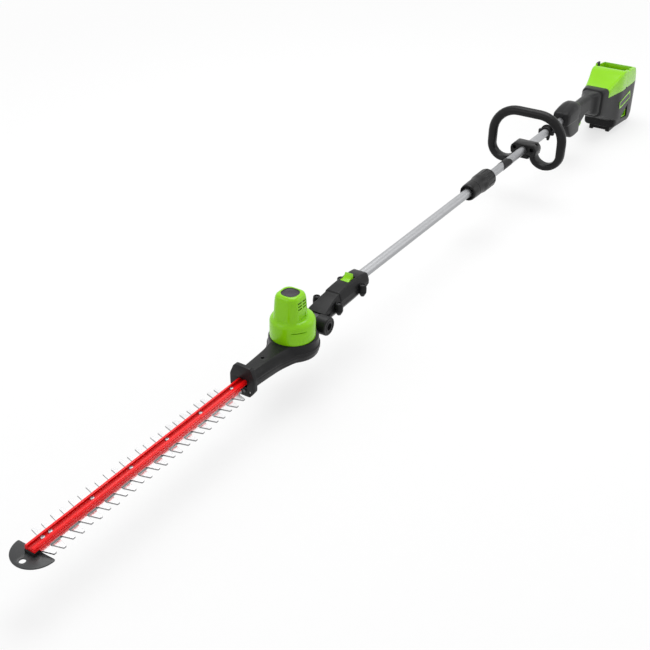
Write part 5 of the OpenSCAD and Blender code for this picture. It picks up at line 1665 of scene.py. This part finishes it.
@dataclass
class RearHandle:
    """Two shells of the rear grip with the trigger and its lock button."""

    spine: Sequence[Sequence[float]] = (
        (-1269.25, 19, -11, 20, 5, 5.5), (-1270.6, 22, -13, 22.4, 6, 8),
        (-1278, 24.7, -14, 25.5, 8, 10), (-1310, 26.5, -14, 33.5, 9, 16),
        (-1336, 27, -15, 37, 9, 20), (-1354, 25.5, -17, 35, 11, 18), (-1372, 19.5, -27, 27, 12, 14),
        (-1388, 15.5, -28, 20, 12, 12), (-1414, 14.9, -27.5, 19.2, 12, 12),
        (-1440, 15.2, -28, 19, 12, 12), (-1466, 16, -29.5, 18.6, 12, 12),
        (-1488, 20, -37, 18.8, 12, 12), (-1499, 25, -46, 19, 14, 12),
        (-1507, 27.2, -50, 19, 14, 12), (-1517, 28.6, -54, 19, 14, 12),
        (-1521.75, 28.8, -54.6, 18.8, 14, 12))
    guard: Sequence[Sequence[float]] = (
        (-1284, 14, -13, 8, 5, 5), (-1286, 16.5, -19, 9, 6, 7), (-1300, 19, -42, 10, 7, 8),
        (-1317, 20, -59, 10, 7, 8), (-1331, 20.2, -63.5, 10, 7, 8), (-1370, 19.2, -66, 6, 8, 8),
        (-1387, 17, -66, -12, 7, 7), (-1391, 15, -64.5, -14, 6, 6))
    tube: Flat = (-1321.0, 10.55)
    pivot: Flat = (-1399.0, -17.0)
    lock: Flat = (-1412.0, 4.0)
    screws: Sequence[Point] = ((-1315, 24, 19), (-1377, -56, 11), (-1382, 9, 11),
                               (-1501, -36, 21), (-1501, 8, 19))

    def build(self) -> None:
        """Makes the pieces of the handle."""
        self.shells()
        self.trigger()
        self.lock_button()

    def form(self) -> Piece:
        """Outer form: a hooded bulb, a waist for the hand and a flare to the housing."""
        spine = Piece.shaped("handle_form", Axis.X, eased_sections(self.spine, 6))
        guard = Piece.shaped("guard", Axis.X, eased_sections(self.guard, 6))
        x = self.guard[-1][0] + 2.5
        web = Piece.drawn("web", Axis.Y, filleted([
            (x, -19, 0), (x, -62, 0), (x - 5, -49, 5), (-1437, -29, 6), (-1437, -19, 0)]),
            (-13.6, 13.6))
        web.soften(2.2, 3, 60)
        return spine.weld(guard, web)

    def shells(self) -> None:
        """Hollows the form and parts it along the middle."""
        x, z = self.pivot
        end, bore = self.tube
        form = self.form()
        form.cut(
            Piece.bar("tube_room", Axis.X, (0, 0), (end - 0.5, self.spine[0][0] + 1), bore, 64),
            Piece.bar("lead_room", Axis.X, (0, 0), (-1523, end), 2.6, 24),
            Piece.drawn("grip_room", Axis.X, filleted([
                (12.4, 16, 8), (-12.4, 16, 8), (-12.4, -25, 8), (12.4, -25, 8)]), (-1523, -1369)),
            Piece.block("flare_room", (-1523, -21, -42), (-1500, 21, 14)),
            Piece.block("trigger_room", (-1453, -7.4, -80), (-1390, 7.4, -10)),
            Piece.bar("pin_room", Axis.Y, (x, z), (-14.3, 14.3), 2.6, 24))
        left = form.twin("handle_left_shell")
        left.trim((0, 0.05, 0), (0, -1, 0))
        form.obj.name = "handle_right_shell"
        form.trim((0, -0.05, 0), (0, 1, 0))
        form.cut(Piece.bar("button_room", Axis.Y, self.lock, (-26, -8), 5.6, 40))
        for shell in (left, form):
            for a, b, depth in self.screws:
                shell.cut(Piece.bar("shank", Axis.Y, (a, b), (-depth - 1, 18.2 - depth), 1.8, 16),
                          Piece.bar("head", Axis.Y, (a, b), (-40, -depth), 3.5, 24))
        for shell, node in ((left, "handle_left"), (form, "handle_right")):
            shell.soften(0.5, 2, 42)
            shell.finish(GREY, "pole", [node], crease=42)

    def trigger(self) -> None:
        """Finger lever with a hollow front, on its pin."""
        x, z = self.pivot
        outline = [(a + x, b + z, r) for a, b, r in (
            (0, 5, 3), (-41, 5, 1), (-47, -1, 2), (-47, -9, 2), (-37, -16, 8), (-31, -28, 12),
            (-33, -37, 6), (-25, -42, 4), (-13, -38, 9), (-5, -25, 14), (2, -12, 6), (4, -3, 4))]
        lever = Piece.drawn("trigger_lever", Axis.Y, filleted(outline), (-7, 7))
        lever.weld(Piece.bar("hub", Axis.Y, (x, z), (-7, 7), 5, 32))
        lever.cut(Piece.bar("pin", Axis.Y, (x, z), (-8, 8), 2.55, 24)).soften(1.1, 3, 50)
        lever.finish(GREEN, "trigger", ["trigger"])

    def lock_button(self) -> None:
        """Round button with a dished end that frees the trigger."""
        button = Piece.turned("lock_button_dished", Axis.Y, self.lock, [
            (ON_AXIS, -9.5), (5.1, -9.5), (5.45, -9.9), (5.45, -18.9), (5.0, -19.5), (4.4, -19.4),
            (3.0, -18.5), (1.5, -18.1), (ON_AXIS, -18.0)], 48)
        button.finish(CHARCOAL, "lock_button", ["lock_button"])


@dataclass
class Housing:
    """Battery housing: grey body, green top with the lining of the bay, and the latch."""

    spine: Sequence[Sequence[float]] = (
        (-1522.25, 30.2, -57, 20.0, 14, 12), (-1523.6, 32.2, -59.4, 21.6, 15, 13),
        (-1527, 33.4, -61.4, 22.2, 15, 13), (-1540, 35.4, -66, 21.4, 14, 12),
        (-1560, 38.4, -72, 19.6, 14, 11),
        (-1600, 44, -91, 31.5, 15, 9), (-1655, 52, -112, 51, 16, 5.5),
        (-1700, 52, -123, 45.8, 15, 5), (-1753, 52, -134, 39, 14, 5),
        (-1770, 50.8, -127, 15, 14, 8), (-1786.75, 47, -116, -11, 14, 10))
    base: Sequence[Sequence[float]] = (
        (-1627, 45, -121, -95, 10, 8), (-1631, 48, -124, -92, 12, 9),
        (-1700, 49.5, -130, -92, 12, 9), (-1764, 50, -134, -92, 12, 8),
        (-1767, 48, -132, -94, 12, 8))
    seam_z: float = -8.0
    seam_x: float = -1560.0
    bay: Flat = (-1745.0, -1661.0)
    bay_half: float = 45.0
    bay_floor: float = -119.0
    rim: Flat = (-1753.0, -1655.0)
    foot: float = -140.0
    latch: float = -1685.0
    window: Sequence[Flat] = ((-1667, -102), (-1731, -111), (-1725, -70))
    badge: Sequence[Flat] = ((-1645, -64), (-1637, -42), (-1727, -27), (-1740, -53))

    def build(self) -> None:
        """Makes the pieces of the housing."""
        form = self.form()
        top = form.twin("housing_top_shell")
        self.body(form)
        self.top(top)
        self.gasket()
        self.badge_plates()
        self.battery_latch()

    def form(self) -> Piece:
        """Outer form of both halves with the broad base block."""
        spine = Piece.shaped("housing_form", Axis.X, eased_sections(self.spine, 9))
        return spine.weld(Piece.shaped("base", Axis.X, eased_sections(self.base, 16)))

    def bay_room(self, wall: float) -> Piece:
        """The bay, wider by a wall on every side."""
        low, high = self.bay
        h = self.bay_half + wall
        return Piece.block("bay", (low - wall, -h, self.bay_floor - wall), (high + wall, h, 90))

    def windows(self, inset: float) -> List[Piece]:
        """The three-cornered windows on both sides, drawn in by inset."""
        (ax, az), (bx, bz), (cx, cz) = self.window
        outline = filleted([(ax - inset, az + inset, 3), (bx + inset, bz + inset, 3),
                            (cx + inset, cz - 2 * inset, 3)])
        near, far = self.bay_half - 4, 60
        return [Piece.drawn("window", Axis.Y, outline, ends)
                for ends in ((near, far), (-far, -near))]

    def inner_rooms(self) -> List[Piece]:
        """Hollows round the controller and behind the bay."""
        return [Piece.block("controller_room", (-1652, -33, -62), (-1562, 33, 0)),
                Piece.block("rear_room", (-1779, -36, -106), (-1753, 36, self.seam_z + 1)),
                Piece.bar("lead_room", Axis.X, (0, 0), (-1590, -1521), 2.6, 24),
                Piece.block("flare_room", (-1546, -21, -42), (-1521, 21, 10))]

    def body(self, form: Piece) -> None:
        """Grey lower body with the collar in front, runners below and windows."""
        form.obj.name = "housing_body_shell"
        upper = Piece.block("upper", (-1800, -60, self.seam_z), (self.seam_x, 60, 100))
        form.cut(upper, self.bay_room(2.05), *self.windows(0), *self.inner_rooms())
        back, front = self.bay[0] + 8, self.rim[1] + 18
        for side in (-1, 1):
            runner = Piece.block("runner", (back, side * 26 - 6, self.foot),
                                 (front, side * 26 + 6, -122.5))
            form.weld(runner.soften(1.6, 3))
        bar = Piece.block("bar", (front - 10, -21, self.foot + 4), (front - 2, 21, -121))
        form.weld(bar.soften(1.6, 3))
        form.soften(0.7, 2, 44)
        form.finish(GREY, "pole", ["housing_body"], crease=42)

    def top(self, form: Piece) -> None:
        """Green top whose lining reaches down to the floor of the bay."""
        low, high = self.bay
        h, floor = self.bay_half, self.bay_floor
        form.trim((0, 0, self.seam_z + 0.06), (0, 0, -1))
        form.trim((self.seam_x - 0.06, 0, 0), (1, 0, 0))
        form.soften(0.7, 2, 44)
        lining = Piece.block("lining", (low - 2, -h - 2, floor - 2),
                             (high + 2, h + 2, self.seam_z + 3))
        lug = Piece.block("lug", (self.latch - 15, -51, 30), (self.latch + 13.5, -h - 1, 54))
        form.weld(lining, lug.soften(1.0, 3))
        cover = Piece.drawn("controller_cover", Axis.Y, [
            (-1651, self.seam_z - 1), (-1651, 42), (-1576, 15), (-1576, self.seam_z - 1)],
            (-33, 33))
        lead = Piece.bar("lead_room", Axis.X, (0, 0), (-1590, -1550), 2.6, 24)
        pocket = Piece.block("pocket", (self.latch - 10.8, -h - 5.8, 2),
                             (self.latch + 10.8, -h + 1, 90))
        notch = Piece.drawn("notch", Axis.Y, filleted([
            (low + 45, 43, 2), (low + 63, 43, 2), (low + 65, 62, 0), (low + 43, 62, 0)]),
            (h - 1, 60))
        form.cut(self.bay_room(0), *self.windows(4), cover, lead, pocket, notch)
        for side in (-1, 1):
            form.cut(self.seam_notch(side))
        form.weld(*self.guide_rails())
        form.soften(0.4, 2, 50)
        form.finish(GREEN, "pole", ["housing_top"], crease=42)

    def gasket(self) -> None:
        """Black ring that fills the gap between the grip's flare and the collar."""
        ring = Piece.shaped("handle_gasket", Axis.X, [
            (x, rounded(half, low, high, 14, 12)) for x, half, low, high in (
                (-1526, 29.6, -56, 19.6), (-1521.4, 29.6, -56, 19.6), (-1519.6, 29.3, -55.6, 19.3),
                (-1519.2, 28, -53, 18))])
        ring.cut(Piece.block("room", (-1527, -20, -41), (-1518, 20, 13)))
        ring.soften(0.3, 2, 50).finish(BLACK_PART, "pole", [], "black_part")

    def seam_notch(self, side: int) -> Piece:
        """Small notch in the lower edge of the top, half way along one side."""
        z = self.seam_z
        return Piece.drawn("seam_notch", Axis.Y, [
            (-1690, z - 1), (-1676, z - 1), (-1679, z + 4), (-1687, z + 4)],
            on_side(side, 49.5, 56))

    def guide_rails(self) -> List[Piece]:
        """Low rails on the walls of the bay that guide the battery."""
        low, high = self.bay
        h, rails = self.bay_half, []
        for x in (low + 12, low + 30):
            for side in (-1, 1):
                span = on_side(side, h - 1.2, h + 0.8)
                rails.append(Piece.block("rail", (x, span[0], self.bay_floor + 20),
                                         (x + 3, span[1], 30)).soften(0.4, 1))
        for y in (-30, -12, 12, 30):
            rails.append(Piece.block("rail", (low - 0.8, y - 1.5, self.bay_floor + 20),
                                     (low + 1.2, y + 1.5, 30)).soften(0.4, 1))
        return rails

    def badge_plates(self) -> None:
        """Bare plates with a raised rim where the real tool has its lettering."""
        mx, mz = (sum(p[i] for p in self.badge) / 4 for i in (0, 1))
        inner = filleted([(mx + (x - mx) * 0.92, mz + (z - mz) * 0.66, 1.5)
                          for x, z in self.badge])
        for side, name in ((1, "left"), (-1, "right")):
            rim = Piece.drawn("badge_rim_" + name, Axis.Y, filleted(
                [(x, z, 3) for x, z in self.badge]), on_side(side, 51.4, 52.7))
            rim.cut(Piece.drawn("hole", Axis.Y, inner, on_side(side, 50, 54)))
            rim.soften(0.3, 2, 40).finish(GREEN, "pole", [], "green_shell")
            field = Piece.drawn("badge_field_" + name, Axis.Y, inner, on_side(side, 51.4, 52.2))
            field.soften(0.15, 1).finish(CHARCOAL, "pole", [], "grey_shell")

    def battery_latch(self) -> None:
        """Sprung slider with a ribbed top and the pawl that holds the battery."""
        x, h = self.latch, self.bay_half
        latch = Piece.drawn("battery_latch_slider", Axis.X, filleted([
            (-h - 5.5, 20, 0.5), (-h + 0.5, 20, 0.5), (-h + 0.5, 24.4, 0), (-h + 4, 27, 0.8),
            (-h + 4, 31, 0.8), (-h + 0.5, 36.4, 0.5), (-h + 0.5, 53.6, 1), (-h - 0.5, 55, 1),
            (-h - 5.5, 55, 1)]), (x - 10.5, x + 10.5))
        grooves = [Piece.block("groove", (x + a - 0.7, -h - 7, 54.2), (x + a + 0.7, -h + 2, 56))
                   for a in (-7.5, -5, -2.5, 0, 2.5, 5, 7.5)]
        latch.cut(grooves[0].join(*grooves[1:])).soften(0.35, 2, 45)
        latch.finish(CHARCOAL, "battery_latch", ["battery_latch"])


ASSEMBLIES = (CuttingBar, Head, Bracket, Pole, LoopHandle, StrapRing, RearHandle, Housing)


@dataclass
class Carried:
    """Construction nodes that keep their own shape and only get a finish."""

    groups: Dict[Finish, Sequence[str]] = field(default_factory=lambda: {
        STEEL: ("blade_nuts", "gear_plate", "crank_gear", "crankshaft", "upper_rod", "lower_rod",
                "pinion", "rotor", "lock_bar", "lock_spring", "trigger_pin", "trigger_spring",
                "latch_spring"),
        BLACK_STEEL: ("case_screws", "pivot_knuckle", "bracket_screws", "loop_screws",
                      "ring_screws", "handle_screws"),
        BLACK_PART: ("joint_plug", "ferrule", "switch", "terminal_block"),
        NYLON: ("fan",), COPPER: ("stator",), BRONZE: ("bearings",), SHEATH: ("pole_lead",),
        BOARD: ("controller",)})

    def dress(self, nodes: Dict[str, bpy.types.Object]) -> None:
        """Gives each node that keeps its shape its finish, nodes being objects by name."""
        for finish, names in self.groups.items():
            for name in names:
                nodes[name].data.materials.clear()
                nodes[name].data.materials.append(finish.material())
                LOG.info("%s keeps its construction shape", name)


def main() -> None:
    """Builds the trimmer and its studio."""
    logging.basicConfig(level=logging.INFO, format="%(message)s")
    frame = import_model()
    Studio().build()
    for assembly in ASSEMBLIES:
        LOG.info("building %s", assembly.__name__)
        assembly().build()
    Carried().dress(frame["nodes"])


if __name__ == "__main__":
    main()
